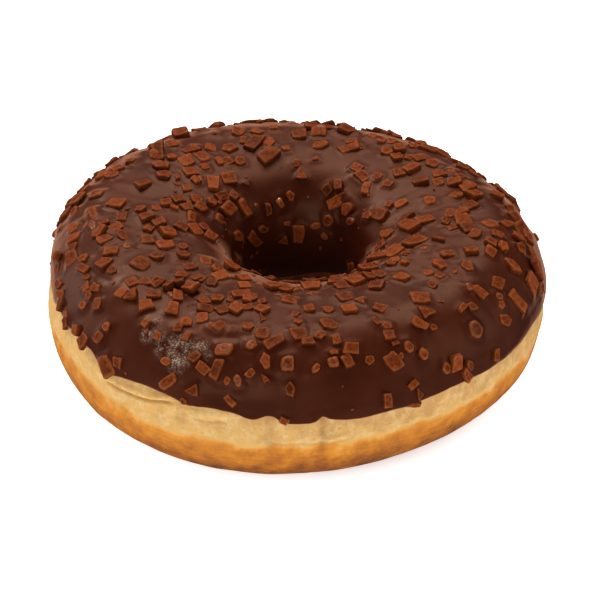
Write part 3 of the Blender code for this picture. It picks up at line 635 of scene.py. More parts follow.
def bump(tree, height, depth, strength, below=None):
    inputs = {"Height": height, "Distance": depth, "Strength": strength}
    if below is not None:
        inputs["Normal"] = below
    return add_node(tree, "ShaderNodeBump", inputs).outputs["Normal"]


def object_place(tree):
    return add_node(tree, "ShaderNodeTexCoord").outputs["Object"]


# Colours that lie over the dough's ramp: a cream, and a brown for darker spots and for painted shade in the
# folds and dents; and how flat its streaks are
CREAM = linear(238, 213, 152)
SPOT_AND_CREASE_SHADE_BROWN = linear(140, 84, 36)
STREAK_SQUEEZE = (0.10, 0.10, 1.0)

# Colours of the icing: its bloom, a sheen painted into its colour where it turns away, its thin lip and its
# highlights
FROST_WHITE = linear(228, 204, 184)
PAINTED_GRAZING_SHEEN = linear(196, 144, 120)
LIP_BROWN = linear(132, 58, 26)
ICING_GLOSS = linear(255, 188, 150)

# Colours of the pieces' edges, paler by wear and a painted highlight, of the painted shade on their side
# walls, and of their highlights
WORN_EDGE_AND_HIGHLIGHT = linear(176, 102, 60)
PAINTED_WALL_SHADE = linear(48, 17, 7)
PIECE_GLOSS = linear(255, 190, 145)


def dough_material():
    """Baked skin: a pale streaky collar, a golden brown band below it, and a lower rim darkened by browning
    and painted shade, with painted shade by the icing, on the front right and in the folds.
    """
    material, tree, shader = new_material("baked_dough")
    place = object_place(tree)
    browning_and_shade = attribute(tree, "browning_and_shade")
    crease_shade = attribute(tree, "crease_shade")
    blotches = grain(tree, place, 0.0032, 5.0, 0.62)
    speckle = grain(tree, place, 0.0007, 3.0, 0.6)
    flat = add_node(tree, "ShaderNodeVectorMath", {0: place, 1: STREAK_SQUEEZE}, operation="MULTIPLY")
    streaks = grain(tree, flat.outputs["Vector"], 0.00055, 3.0, 0.6)
    reach = remap(tree, browning_and_shade, 0.10, 0.45, 0.11, 0.17)
    uneven = math_node(tree, "MULTIPLY", spread(tree, blotches, -1.0, 1.0), reach)
    uneven = math_node(tree, "ADD", uneven, browning_and_shade)
    uneven = math_node(tree, "ADD", uneven, spread(tree, speckle, -0.03, 0.03))
    uneven = math_node(tree, "ADD", uneven, spread(tree, streaks, -0.035, 0.035))
    # Below the collar's value the ramp turns darker: painted shade by the icing and on the front right. Its
    # dark end is browning and painted shade at the foot.
    colour = ramp(tree, uneven, (
        (0.00, linear(206, 158, 92)),
        (0.12, linear(223, 177, 101)),
        (0.24, linear(226, 170, 84)),
        (0.38, linear(219, 144, 40)),
        (0.52, linear(202, 126, 26)),
        (0.72, linear(170, 98, 22)),
        (0.86, linear(142, 78, 20)),
        (1.00, linear(112, 60, 26)),
    ))
    # Darker spots, and painted shade at the bottoms of the folds and dents
    dark_spots = remap(tree, cells(tree, place, 0.0026), 0.045, 0.13, 0.24, 0.0)
    cream = remap(tree, grain(tree, place, 0.0019, 5.0, 0.75), 0.46, 0.62, 0.0, 0.48)
    cream = math_node(tree, "MULTIPLY", cream, remap(tree, browning_and_shade, 0.14, 0.30, 1.0, 0.0))
    colour = mix_colour(tree, cream, colour, CREAM)
    spots_and_crease_shade = math_node(tree, "MAXIMUM", dark_spots, crease_shade)
    pores = grain(tree, place, 0.0005, 4.0, 0.65)
    wrinkles = bump(tree, streaks, 0.00030, 0.32)
    set_inputs(tree, shader, {
        "Base Color": mix_colour(tree, spots_and_crease_shade, colour, SPOT_AND_CREASE_SHADE_BROWN),
        "Normal": bump(tree, pores, 0.00018, 0.55, wrinkles),
        "Roughness": spread(tree, blotches, 0.34, 0.55),
        "Specular IOR Level": 0.35,
        "Subsurface Weight": 0.10,
        "Subsurface Radius": (1.0, 0.45, 0.2),
        "Subsurface Scale": 0.0010,
    })
    return material


# Where fine crystals bloom on the icing, and small pale specks in the same colour: pixel of the photo, then
# radius in mm
FROST_SPOTS = (
    (147, 334, 2.1), (164, 344, 3.1), (180, 346, 3.1), (198, 343, 2.3), (177, 360, 2.7), (174, 370, 1.8),
    (206, 354, 1.4), (158, 318, 1.4), (125, 310, 0.8), (129, 306, 0.8), (134, 302, 0.7),
)
PALE_SPECKS = (
    (186, 366, 0.5), (204, 381, 0.5), (203, 404, 0.7), (194, 401, 0.5), (217, 405, 0.5), (228, 406, 0.7),
    (239, 409, 0.5), (244, 412, 0.5), (527, 327, 0.5), (522, 337, 0.45), (516, 341, 0.5), (535, 320, 0.4),
)


def frost_mask(tree, place, view, spots):
    """How near the closest of a few soft spots on the icing is."""
    total = None
    for x, y, radius in spots:
        middle = view.hit(x, y)[0]
        away = add_node(tree, "ShaderNodeVectorMath", {0: place, 1: middle}, operation="DISTANCE")
        spot = remap(tree, away.outputs["Value"], radius * MM, 0.25 * radius * MM)
        total = spot if total is None else math_node(tree, "MAXIMUM", total, spot)
    return total


def icing_material(view):
    """Satin dark chocolate with a soft uneven sheen, a patch of bloom, and a pale reflection painted into its
    colour where it turns away.
    """
    material, tree, shader = new_material("dark_chocolate")
    place = object_place(tree)
    clouds = grain(tree, place, 0.0075, 4.0, 0.55)
    grit = grain(tree, place, 0.00030, 2.0, 0.6)
    base = ramp(tree, clouds, (
        (0.30, linear(60, 22, 11)),
        (0.70, linear(73, 29, 15)),
    ))
    crystals = remap(tree, cells(tree, place, 0.00036), 0.16, 0.52, 1.0, 0.16)
    patchy = remap(tree, grain(tree, place, 0.0016, 4.0, 0.7), 0.38, 0.58)
    bloom_and_specks = math_node(tree, "MULTIPLY", frost_mask(tree, place, view, FROST_SPOTS), patchy)
    # Small pale specks, in the bloom's colour
    bloom_and_specks = math_node(tree, "MAXIMUM", bloom_and_specks, frost_mask(tree, place, view, PALE_SPECKS))
    bloom_and_specks = math_node(tree, "MULTIPLY", bloom_and_specks, crystals)
    frosted = mix_colour(tree, math_node(tree, "MULTIPLY", bloom_and_specks, 0.92), base, FROST_WHITE)
    # Painted reflection: the colour turns pale where the icing turns away from the view
    turned = add_node(tree, "ShaderNodeLayerWeight", {"Blend": 0.5}).outputs["Facing"]
    painted_rim_sheen = mix_colour(tree, remap(tree, turned, 0.58, 0.92, 0.0, 0.72), frosted, PAINTED_GRAZING_SHEEN)
    set_inputs(tree, shader, {
        "Base Color": mix_colour(tree, attribute(tree, "lip"), painted_rim_sheen, LIP_BROWN),
        "Roughness": spread(tree, clouds, 0.36, 0.46),
        "Normal": bump(tree, grit, 0.00005, 0.35),
        "Specular IOR Level": 0.26,
        "Specular Tint": ICING_GLOSS,
    })
    return material


def piece_material():
    """Milk chocolate pieces: each a little lighter or darker, paler on its edges by wear and a painted
    highlight, and darkened by painted shade on its side walls.
    """
    material, tree, shader = new_material("milk_chocolate")
    place = object_place(tree)
    melt = attribute(tree, "melt")
    cloud = grain(tree, place, 0.0008, 4.0, 0.65)
    shade = math_node(tree, "ADD", attribute(tree, "tone"), spread(tree, cloud, -0.5, 0.5))
    colour = ramp(tree, shade, (
        (0.0, linear(76, 29, 8)),
        (0.5, linear(112, 48, 15)),
        (1.0, linear(144, 69, 28)),
    ))
    # Edges paler by wear and a painted highlight
    wear_and_highlight = math_node(tree, "MULTIPLY", attribute(tree, "edge_wear_and_highlight"), 0.54)
    colour = mix_colour(tree, wear_and_highlight, colour, WORN_EDGE_AND_HIGHLIGHT)
    # Painted shade on the side walls, darkest at the base
    wall_shade = math_node(tree, "MULTIPLY", attribute(tree, "wall_shade"), 0.60)
    chips = grain(tree, place, 0.00045, 4.0, 0.65)
    wet = grain(tree, place, 0.00075, 2.0, 0.5)
    set_inputs(tree, shader, {
        "Base Color": mix_colour(tree, wall_shade, colour, PAINTED_WALL_SHADE),
        "Roughness": remap(tree, melt, 0.3, 0.7, 0.42, 0.24),
        "Normal": bump(tree, chips, 0.00024, 0.9),
        "Coat Normal": bump(tree, wet, 0.00042, 0.9),
        "Coat Weight": remap(tree, melt, 0.50, 0.60, 0.0, 0.24),
        "Coat Roughness": 0.07,
        "Specular IOR Level": 0.15,
        "Specular Tint": PIECE_GLOSS,
    })
    return material


# Dough

# Folds in the collar: points of angle in degrees and girth in mm, then depth and width in mm
FOLDS = (
    (((221.5, 22.3), (226, 22.5), (231, 22.7), (236, 23.1), (240, 24.0), (243.5, 24.5)), 0.42, 0.30),
    (((246, 22.9), (250, 22.2), (254, 22.5), (257, 22.4)), 0.16, 0.30),
    (((264, 19.3), (268, 18.9), (273, 18.8), (279, 18.6), (285, 18.9)), 0.13, 0.28),
    (((296, 18.8), (303, 18.2), (310, 18.6)), 0.09, 0.35),
    (((190, 21.0), (197, 20.2), (204, 20.6)), 0.12, 0.35),
    (((60, 21.5), (75, 20.4), (92, 21.2)), 0.20, 0.32),
    (((130, 20.5), (141, 21.6), (150, 21.0)), 0.22, 0.32),
)
# The degrees over which a fold's ends fade, and the swelling above it: its share of the depth, how far up,
# and its reach in mm
FOLD_FADE = 3.0
FOLD_SHOULDER = (0.55, 1.0, 0.75)

# Short dents from the brown band up to a notch: angle, girth range in mm, depth in mm, half width in degrees.
# Their lower and upper ends fade over mm of girth.
DENTS = ((265.4, 17.0, 26.0, 0.22, 1.5), (277.3, 16.0, 26.0, 0.30, 0.9), (253.8, 19.0, 25.0, 0.12, 1.6))
DENT_FADES = (2.5, 2.0)

# Upper limit of the brown band: angle in degrees and height in mm in front, and height behind and in the hole
BAND_TOP = (
    (185, 12.2), (203, 13.6), (210, 13.0), (219, 12.2), (228, 11.4), (240, 10.8), (255, 10.5), (270, 10.3),
    (285, 10.4), (300, 10.4), (308, 10.1), (320, 10.3), (330, 10.3), (342, 9.6), (355, 10.2),
)
BAND_TOP_BEHIND = 11.2
BAND_TOP_INSIDE = 16.0
# Where the front's limit holds, as first and last degree and the fades inside them, how ragged the limit is,
# how soft it is, and how far below it the dough is at its darkest
BAND_SEEN = (185.0, 358.0, 18.0, 13.0)
BAND_RAGGED = ((0.0010, 0.0068, 12.0), (0.0006, 0.0026, 20.0))
BAND_BLUR = (0.0011, 0.0013)
BAND_DEPTH = 0.0088

# Browning and painted shade: of the collar, what the band adds, and what grows down to the foot, which is
# browning and painted shade; the painted shade that darkens the collar by the icing and at the front right;
# and how much of the foot's darkening the lit left side loses in the band. A side has its first and last
# degree and the fades inside them.
COLLAR_BROWN = 0.12
BAND_BROWN = 0.26
FOOT_BROWN_AND_SHADE = 0.56
SHADE_BY_ICING = 0.10
BY_ICING = 0.0026
SHADE_RIGHT = 0.07
RIGHT_SIDE = (262.0, 345.0, 23.0, 20.0)
LIT_LEFT = 0.38
LEFT_SIDE = (20.0, 262.0, 70.0, 52.0)

# Relief of the dough: height, size and shift of soft lumps, of wrinkles, which are stretched, and of pores
DOUGH_LUMPS = ((0.00016, 0.0075, 3.1), (0.00007, 0.0028, 8.4))
WRINKLES = ((0.00005, 0.0011, 5.2),)
WRINKLE_STRETCH = (0.45, 0.45, 1.0)
PORES = ((0.000022, 0.0006, 1.3),)
FLAT_FOOT_SHARE = 0.2
FOOT_TO_SIDE = 6.0

# How dark the painted shade at the bottom of a fold is, how deep the fold is where it is darkest, and how
# much a dent counts beside it
CREASE_SHADE_DARKNESS = 0.55
CREASE_DEPTH = 0.00030
DENT_SHARE = 0.7


def fold_relief(angle, girth):
    """Narrow furrows with the dough swollen on their upper side."""
    degrees = np.degrees(angle) % 360.0
    total = np.zeros(np.shape(angle))
    share, above_fold, reach = FOLD_SHOULDER
    for path, depth, width in FOLDS:
        turns = np.array([point[0] for point in path])
        line = smooth_curve(degrees, turns, [point[1] for point in path])
        fade = window(degrees, turns[0], turns[-1], FOLD_FADE, FOLD_FADE)
        above = girth / MM - line
        furrow = -np.exp(-(above / width) ** 2)
        shoulder = share * np.exp(-((above - above_fold) / reach) ** 2)
        total += depth * MM * fade * (furrow + shoulder)
    return total


def dent_relief(angle, girth):
    degrees = np.degrees(angle) % 360.0
    total = np.zeros(np.shape(angle))
    for middle, low, high, depth, width in DENTS:
        across = np.exp(-((degrees - middle) / width) ** 2)
        total -= depth * MM * across * window(girth / MM, low, high, *DENT_FADES)
    return total


def dough_relief(angle, girth, points):
    """Soft lumps, wrinkles and pores of the baked skin, over the plain ring."""
    up = np.sin(np.pi * np.clip(girth / FULL_GIRTH, 0.0, 1.0)) ** 2
    share = np.minimum(1.0, FLAT_FOOT_SHARE + FOOT_TO_SIDE * up)
    wrinkles = layers(points * np.array(WRINKLE_STRETCH), WRINKLES)
    height = layers(points, DOUGH_LUMPS) + wrinkles + layers(points, PORES)
    return height * share + fold_relief(angle, girth) + dent_relief(angle, girth)


def band_top(angle):
    """Height of the upper limit of the brown band outside."""
    degrees = np.degrees(angle) % 360.0
    seen = smooth_curve(degrees, [row[0] for row in BAND_TOP], [row[1] for row in BAND_TOP])
    return MM * (BAND_TOP_BEHIND + (seen - BAND_TOP_BEHIND) * window(degrees, *BAND_SEEN))


def browning_and_shade(angle, girth, points):
    """From painted shade by the icing, over the collar and the brown band, to browning and painted shade at
    the foot and underneath, with painted shade on the front right and less of the foot's on the lit left.
    """
    height = points[..., 2]
    inner = girth > 0.5 * FULL_GIRTH
    top = np.where(inner, MM * BAND_TOP_INSIDE, band_top(angle))
    top = top + layers(points, BAND_RAGGED)
    brown = smooth_step(-height, -top - BAND_BLUR[0], -top + BAND_BLUR[1])
    # Browning and painted shade, which grow down towards the foot
    low = np.clip((top - height) / BAND_DEPTH, 0.0, 1.0)
    degrees = np.degrees(angle) % 360.0
    # Painted light: less of the foot's darkening on the left, where the light falls
    left = 1.0 - LIT_LEFT * window(degrees, *LEFT_SIDE) * ~inner
    # Painted shade on the collar just under the icing's edge
    shade_by_icing = SHADE_BY_ICING * smooth_step(girth - outer_edge(angle), -BY_ICING, 0.0) * ~inner
    # Painted shade on the collar at the front right
    right = SHADE_RIGHT * window(degrees, *RIGHT_SIDE) * ~inner * (1.0 - brown)
    return COLLAR_BROWN + BAND_BROWN * brown + FOOT_BROWN_AND_SHADE * low * left - shade_by_icing - right


def crease_shade_marks(angle, girth):
    """How dark the painted shade at the bottoms of the folds and dents is."""
    depth = -fold_relief(angle, girth) - DENT_SHARE * dent_relief(angle, girth)
    return CREASE_SHADE_DARKNESS * np.clip(depth / CREASE_DEPTH, 0.0, 1.0)


def dough_girths():
    """Rows of the dough: close together where it shows, far apart under the icing."""
    ends = [start for start, _ in DOUGH_ROWS[1:]] + [FULL_GIRTH - LAST_ROW]
    return np.concatenate([np.arange(start, end, step) for (start, step), end in zip(DOUGH_ROWS, ends)])


def make_dough(material):
    girth, angle = np.meshgrid(dough_girths(), ring_angles(SECTORS), indexing="ij")
    plain = skin(angle, girth, -dough_inset(girth))
    points = plain + skin_normal(angle, girth) * dough_relief(angle, girth, plain)[..., None]
    points[..., 2] = np.maximum(points[..., 2], 0.0)
    item = make_object("dough", points, ring_faces(*girth.shape), material)
    # Browning, with the painted shade of the lower rim, by the icing and on the front right
    add_attribute(item, "browning_and_shade", browning_and_shade(angle, girth, points))
    # Painted shade at the bottoms of the folds and dents
    add_attribute(item, "crease_shade", crease_shade_marks(angle, girth))
    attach(item, "root")
    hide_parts("dough_ring")
    return item


# Chocolate pieces

class Piece:
    """One piece: its place on the ring, its outline, and how it lies."""

    def __init__(self, angle, girth, length, width, spin, sides):
        self.angle = angle
        self.girth = girth
        self.length = length
        self.width = width
        self.spin = spin
        self.sides = sides
        self.lift = 0.0
        self.softness = 0.0
        self.base = skin(angle, girth, 0.0)

    def shape(self, draw, thickness, tilt):
        """Draws the outline, thickness, taper and tilts."""
        self.outline = piece_outline(draw, self.length, self.width, self.sides)
        self.thickness = min(draw.uniform(*thickness), 0.65 * self.length)
        self.taper = draw.uniform(0.80, 0.96)
        self.tilt_x = draw.uniform(-tilt, tilt)
        self.tilt_y = draw.uniform(-tilt, tilt)


def piece_outline(draw, length, width, sides):
    """Corners of one chipped slab."""
    corners = []
    for side in range(sides):
        turn = 2 * math.pi * (side + 0.5 + draw.uniform(-0.15, 0.15)) / sides
        reach = draw.uniform(0.88, 1.08) * (1.28 if sides == 4 else 1.08)
        corners.append((0.5 * length * reach * math.cos(turn), 0.5 * width * reach * math.sin(turn)))
    return corners


class View:
    """The photo's view of the ring: where a pixel's line of sight meets it, and which places show."""

    def __init__(self):
        self.girths = np.arange(VIEW_ROW, FULL_GIRTH, VIEW_ROW)
        girth, angle = np.meshgrid(self.girths, ring_angles(VIEW_SECTORS), indexing="ij")
        points = skin(angle, girth, PIECE_EYE_HEIGHT).reshape(-1, 3)
        faces = ring_faces(len(self.girths), VIEW_SECTORS)
        self.tree = BVHTree.FromPolygons([Vector(point) for point in points], faces)

    def hit(self, x, y):
        """Point, angle and girth where a pixel's line of sight meets the ring, or the nearest inside it."""
        upward = Vector((0.0, math.sin(VIEW_RISE), math.cos(VIEW_RISE)))
        middle = PHOTO_SIDE / 2
        for _ in range(NUDGES):
            right = (x - middle) / PHOTO_FOCAL
            up = (middle - y) / PHOTO_FOCAL
            direction = Vector((1.0, 0.0, 0.0)) * right + upward * up - VIEW_BACK
            point, _, face, _ = self.tree.ray_cast(EYE, direction)
            if point is not None:
                angle = math.atan2(point.y - CENTRE[1], point.x - CENTRE[0]) % (2 * math.pi)
                return point, angle, float(self.girths[face // VIEW_SECTORS])
            x += NUDGE if x < middle else -NUDGE
            y += NUDGE if y < middle else -NUDGE
        raise ValueError("no part of the ring near this pixel")

    def shows(self, angle, girth):
        point = Vector(skin(angle, girth, PIECE_EYE_HEIGHT))
        toward = (point - EYE).normalized()
        if Vector(skin_normal(angle, girth)).dot(toward) > -LEAST_FACING:
            return False
        met, _, _, _ = self.tree.ray_cast(EYE, toward)
        return met is not None and (met - point).length < SAME_PLACE

    def piece(self, x_first, y_first, x_last, y_last, width, sides):
        """The piece that shows with these ends and this width."""
        x, y = 0.5 * (x_first + x_last), 0.5 * (y_first + y_last)
        _, angle, girth = self.hit(x, y)
        first = self.hit(x_first, y_first)[0]
        last = self.hit(x_last, y_last)[0]
        along = math.hypot(x_last - x_first, y_last - y_first)
        side = (-(y_last - y_first) / along * width / 2, (x_last - x_first) / along * width / 2)
        one_side = self.hit(x + side[0], y + side[1])[0]
        other_side = self.hit(x - side[0], y - side[1])[0]
        level, slope, _ = surface_axes(angle, girth)
        way = last - first
        spin = math.atan2(way.dot(slope), way.dot(level))
        length = min(max(way.length, SHORTEST_PIECE), LONGEST_PIECE)
        breadth = min(max((one_side - other_side).length, 0.45 * length), length, WIDEST_PIECE)
        return Piece(angle, girth, length, breadth, spin, sides)


def seen_pieces(view):
    """The large pieces that the photo shows."""
    draw = random.Random(PIECE_SEED + 1)
    pieces = []
    for row in LARGE_PIECES + MELTED_PIECES + RAISED_PIECES:
        piece = view.piece(*row)
        piece.shape(draw, PIECE_THICKNESS, PIECE_TILT)
        pieces.append(piece)
    for piece in pieces[-len(MELTED_PIECES + RAISED_PIECES):-len(RAISED_PIECES)]:
        piece.softness = MELTED_SOFTNESS
    for piece in pieces[-len(RAISED_PIECES):]:
        piece.lift = RAISED_LIFT
        piece.tilt_x = draw.choice((-1, 1)) * draw.uniform(*RAISED_TILT)
    return pieces


def crowding(angle, level):
    """Share of the draws kept: dense on top, sparse on steep sides, densest on the left."""
    uneven = 1.0 + 0.22 * math.cos(angle - math.radians(165))
    return (0.10 + 0.62 * max(level, 0.0)) * uneven


def hidden_pieces(view, pieces, seed, count, lengths, spacing):
    """A seeded draw of pieces of the same kind where the photo doesn't show the ring."""
    draw = random.Random(seed)
    added = []
    bases = [piece.base for piece in pieces]
    reach = [0.5 * piece.length for piece in pieces]
    while len(added) < count:
        angle = draw.uniform(0.0, 2 * math.pi)
        girth = draw.uniform(solid_outer_edge(angle) + EDGE_MARGIN, inner_edge(angle) - EDGE_MARGIN)
        length = draw.uniform(*lengths)
        width = length * draw.uniform(*HIDDEN_SLENDERNESS)
        spin = draw.uniform(0.0, 2 * math.pi)
        sides = draw.choice(HIDDEN_SIDES)
        if draw.random() > crowding(angle, skin_normal(angle, girth)[2]) or view.shows(angle, girth):
            continue
        away = np.linalg.norm(np.array(bases) - skin(angle, girth, 0.0), axis=1)
        if np.min(away / (np.array(reach) + 0.5 * length)) < spacing:
            continue
        piece = Piece(angle, girth, length, width, spin, sides)
        piece.shape(draw, PIECE_THICKNESS, PIECE_TILT)
        added.append(piece)
        bases.append(piece.base)
        reach.append(0.5 * length)
    return added


def solid_pieces(view):
    """The pieces that the solid has: the large ones that show, and some of the others."""
    pieces = seen_pieces(view)
    return pieces + hidden_pieces(view, pieces, PIECE_SEED, HIDDEN_COUNT, HIDDEN_LENGTH, HIDDEN_SPACING)


def surface_axes(angle, girth):
    """Directions on the skin: level along the ring, up the slope, and outward."""
    upright = Vector(skin_normal(angle, girth))
    level = Vector((0.0, 0.0, 1.0)).cross(upright).normalized()
    return level, upright.cross(level), upright


def piece_frame(piece, surface):
    """Matrix from a piece's own axes to the ring, its base sunk in a surface at an offset from the skin."""
    axes = Matrix(surface_axes(piece.angle, piece.girth)).transposed()
    tip = Matrix.Rotation(piece.tilt_x, 4, "X") @ Matrix.Rotation(piece.tilt_y, 4, "Y")
    tip = tip @ Matrix.Rotation(piece.spin, 4, "Z")
    lowest = min((tip @ Vector((x, y, 0.0))).z for x, y in piece.outline)
    sunk = min(PIECE_SUNK, 0.4 * piece.thickness)
    rise = min(piece.lift - sunk - max(lowest, -0.6 * piece.thickness), -lowest - min(LEAST_SUNK, sunk))
    out = Matrix.Translation((0.0, 0.0, surface + rise))
    return Matrix.Translation(Vector(piece.base)) @ axes.to_4x4() @ out @ tip


def small_pieces(view, pieces):
    """The smaller pieces that only the scene has."""
    draw = random.Random(FILL_SEED)
    added = []
    for row in SMALL_PIECES:
        piece = view.piece(*row)
        piece.shape(draw, PIECE_THICKNESS, PIECE_TILT)
        added.append(piece)
    return added + hidden_pieces(view, pieces + added, FILL_SEED, FILL_COUNT, FILL_LENGTH, FILL_SPACING)


def crumbs():
    """Crumbs of the same chocolate, anywhere on the icing."""
    draw = random.Random(FILL_SEED + 1)
    pieces = []
    for _ in range(CRUMB_COUNT):
        angle = draw.uniform(0.0, 2 * math.pi)
        lowest = solid_outer_edge(angle) + CRUMB_MARGINS[0]
        girth = draw.uniform(lowest, inner_edge(angle) - CRUMB_MARGINS[1])
        length = draw.uniform(*CRUMB_LENGTH)
        width = length * draw.uniform(*CRUMB_SLENDERNESS)
        piece = Piece(angle, girth, length, width, draw.uniform(0.0, 2 * math.pi), draw.choice((3, 4, 5)))
        piece.shape(draw, [share * length for share in CRUMB_THICKNESS], PIECE_TILT)
        pieces.append(piece)
    return pieces


def rounded_outline(corners, corner_radius, draw):
    """Points round an outline: three at each corner, which they round off, and one where each side broke."""
    corners = np.array(corners)
    points = []
    wear_and_highlight = []
    for number, corner in enumerate(corners):
        before = corners[number - 1] - corner
        after = corners[(number + 1) % len(corners)] - corner
        cut = min(corner_radius, 0.42 * np.linalg.norm(before), 0.42 * np.linalg.norm(after))
        first = corner + before / np.linalg.norm(before) * cut
        last = corner + after / np.linalg.norm(after) * cut
        middle = 0.25 * first + 0.25 * last + 0.5 * corner
        broken = corner + draw.uniform(0.35, 0.65) * after
        sideways = np.array([after[1], -after[0]]) * draw.uniform(-0.04, 0.06)
        points += [first, middle, last, broken + sideways]
        # Each point's share of the edge's wear and painted highlight: most at a corner
        wear_and_highlight += [0.6, 1.0, 0.6, 0.0]
    return np.array(points), np.array(wear_and_highlight)


def piece_mesh(piece, draw):
    """Points and faces of one piece, with each point's share of edge wear and painted highlight and of
    painted wall shade: walls that taper, a rounded rim and an uneven broken top.
    """
    softness = piece.softness
    corner_radius = piece.width * (CORNER_ROUNDING + SOFT_CORNER_ROUNDING * softness)
    spread = WIDER_QUAD if piece.sides == 4 else WIDER
    outline, wear_and_highlight = rounded_outline(np.array(piece.outline) * spread, corner_radius, draw)
    thick = FLATTER * piece.thickness
    rim = min(RIM + SOFT_RIM * softness, 0.5 * thick)
    size = 0.5 * math.sqrt(piece.length * piece.width)
    top = 0.45 + 0.55 * piece.taper
    # Rings of the mesh: height, scale of the outline, share of painted shade on the side wall, share of wear
    # and painted highlight on the edge
    levels = (
        (0.0, 0.96, 1.0, 0.0),
        (0.50 * thick, 0.5 * (1.0 + top) + 0.03, 0.8, 0.0),
        (thick - rim, top + 0.03 * softness, 0.5, 0.2),
        (thick - 0.50 * rim, top - 0.14 * rim / size, 0.2, 0.8),
        (thick - 0.14 * rim, top - 0.50 * rim / size, 0.0, 1.0),
        (thick, top - 1.2 * rim / size, 0.0, 0.5),
        (thick, 0.64 * top - 0.6 * rim / size, 0.0, 0.0),
        (thick, 0.30 * top, 0.0, 0.0),
    )
    rise_x = draw.uniform(-TOP_RISE, TOP_RISE)
    rise_y = draw.uniform(-TOP_RISE, TOP_RISE)
    dome = draw.uniform(-DOME, DOME) + SOFT_DOME * softness
    count = len(outline)
    rows = [np.column_stack([outline * scale, np.full(count, height)]) for height, scale, _, _ in levels]
    points = np.vstack(rows + [[[0.0, 0.0, thick]], [[0.0, 0.0, 0.0]]])
    # Each point's share of edge wear with painted highlight, and of painted shade on the wall
    edge_wears_and_highlights = np.concatenate([edge_wear_and_highlight * (0.6 + 0.4 * wear_and_highlight) for _, _, _, edge_wear_and_highlight in levels] + [[0.0], [0.0]])
    wall_shade = np.concatenate([np.full(count, wall_shade_share) for _, _, wall_shade_share, _ in levels] + [[0.0], [1.0]])
    share = points[:, 2] / thick
    out = np.hypot(points[:, 0] / piece.length, points[:, 1] / piece.width) * 2.0
    points[:, 2] += share * (rise_x * points[:, 0] + rise_y * points[:, 1])
    points[:, 2] += share * dome * thick * (1.0 - np.clip(out, 0.0, 1.0) ** 2)
    shift = draw.uniform(0.0, 50.0)
    for axis in range(3):
        coarse = COARSE_LUMPS[0] * lumps(points, COARSE_LUMPS[1], shift + 7.0 * axis)
        fine = FINE_LUMPS[0] * lumps(points, FINE_LUMPS[1], shift + 3.0 * axis)
        broken = coarse + fine * (1.0 - SOFT_SMOOTHING * softness)
        points[:, axis] += broken * min(1.0, size / MM)
    faces = []
    for row in range(len(levels) - 1):
        for number in range(count):
            beside = (number + 1) % count
            faces.append((row * count + number, row * count + beside,
                          (row + 1) * count + beside, (row + 1) * count + number))
    last = (len(levels) - 1) * count
    summit = len(levels) * count
    for number in range(count):
        beside = (number + 1) % count
        faces.append((last + number, last + beside, summit))
        faces.append((beside, number, summit + 1))
    return points, faces, edge_wears_and_highlights, wall_shade


def make_pieces(name, pieces, material, seed):
    """Pieces as one mesh."""
    draw = random.Random(seed)
    all_points = []
    all_faces = []
    edge_wears_and_highlights = []
    wall_shades = []
    tone = []
    melt = []
    count = 0
    for piece in pieces:
        points, faces, edge_wear_and_highlight, wall_shade = piece_mesh(piece, draw)
        to_ring = np.array(piece_frame(piece, icing_top(piece.angle, piece.girth)))
        all_points.append(points @ to_ring[:3, :3].T + to_ring[:3, 3])
        all_faces += [tuple(number + count for number in face) for face in faces]
        edge_wears_and_highlights.append(edge_wear_and_highlight)
        wall_shades.append(wall_shade)
        tone.append(np.full(len(points), min(max(draw.gauss(*TONE), 0.0), 1.0)))
        melt.append(np.full(len(points), piece.softness))
        count += len(points)
    item = make_object(name, np.vstack(all_points), all_faces, material, PIECE_CREASE)
    # Edge wear with painted highlight, painted wall shade, tone and melt, for the material
    for label, values in (("edge_wear_and_highlight", edge_wears_and_highlights), ("wall_shade", wall_shades), ("tone", tone), ("melt", melt)):
        add_attribute(item, label, np.concatenate(values))
    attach(item, "root")
    return item


# Icing

# The rounded bead at its edges, how deep its inner face sits in the dough, and the brown line of its lip
BEAD_WIDTH = 0.0007
EMBEDDED = 0.00015
LIP_LINE = 0.00035
LIP_LINE_SHARE = 0.6

# Its relief: height, size and shift of its waves, which are calm by the edges, and its ripples
ICING_LUMPS = ((0.00030, 0.0095, 30.0), (0.00003, 0.0035, 41.0), (0.000006, 0.0012, 52.0))
CALM_WIDTH = 0.0030
RIPPLE_WIDTH = 0.0021
RIPPLE_LENGTH = 0.0120
RIPPLE_HEIGHT = 0.00017
LEAST_RIPPLE = 0.04
# Where the ripples are strong: angle and reach in degrees, girth and reach in mm
RIPPLED = ((158, 34, 36, 12), (330, 26, 36, 12), (20, 30, 40, 14), (285, 14, 44, 8), (85, 25, 38, 10))


def outer_edge(angle):
    """Girth of the visible icing's lower edge: the solid's, with the photo's lobes in front."""
    degrees = np.degrees(angle) % 360.0
    first, last = FRONT_EDGE[0][0], FRONT_EDGE[-1][0]
    lobes = MM * smooth_curve(degrees, [row[0] for row in FRONT_EDGE], [row[1] for row in FRONT_EDGE])
    height = solid_edge_height(angle)
    height = height + (lobes - height) * window(degrees, first, last, FRONT_FADE, FRONT_FADE)
    ring = np.stack([np.cos(angle), np.sin(angle), 0.0 * angle], axis=-1) * OUTER_RADIUS
    height = height + EDGE_RAGGED * lumps(ring, 0.0016, 4.0) + EDGE_RAGGED * lumps(ring, 0.0034, 9.0)
    return girth_at_height(angle, height, inner=False)


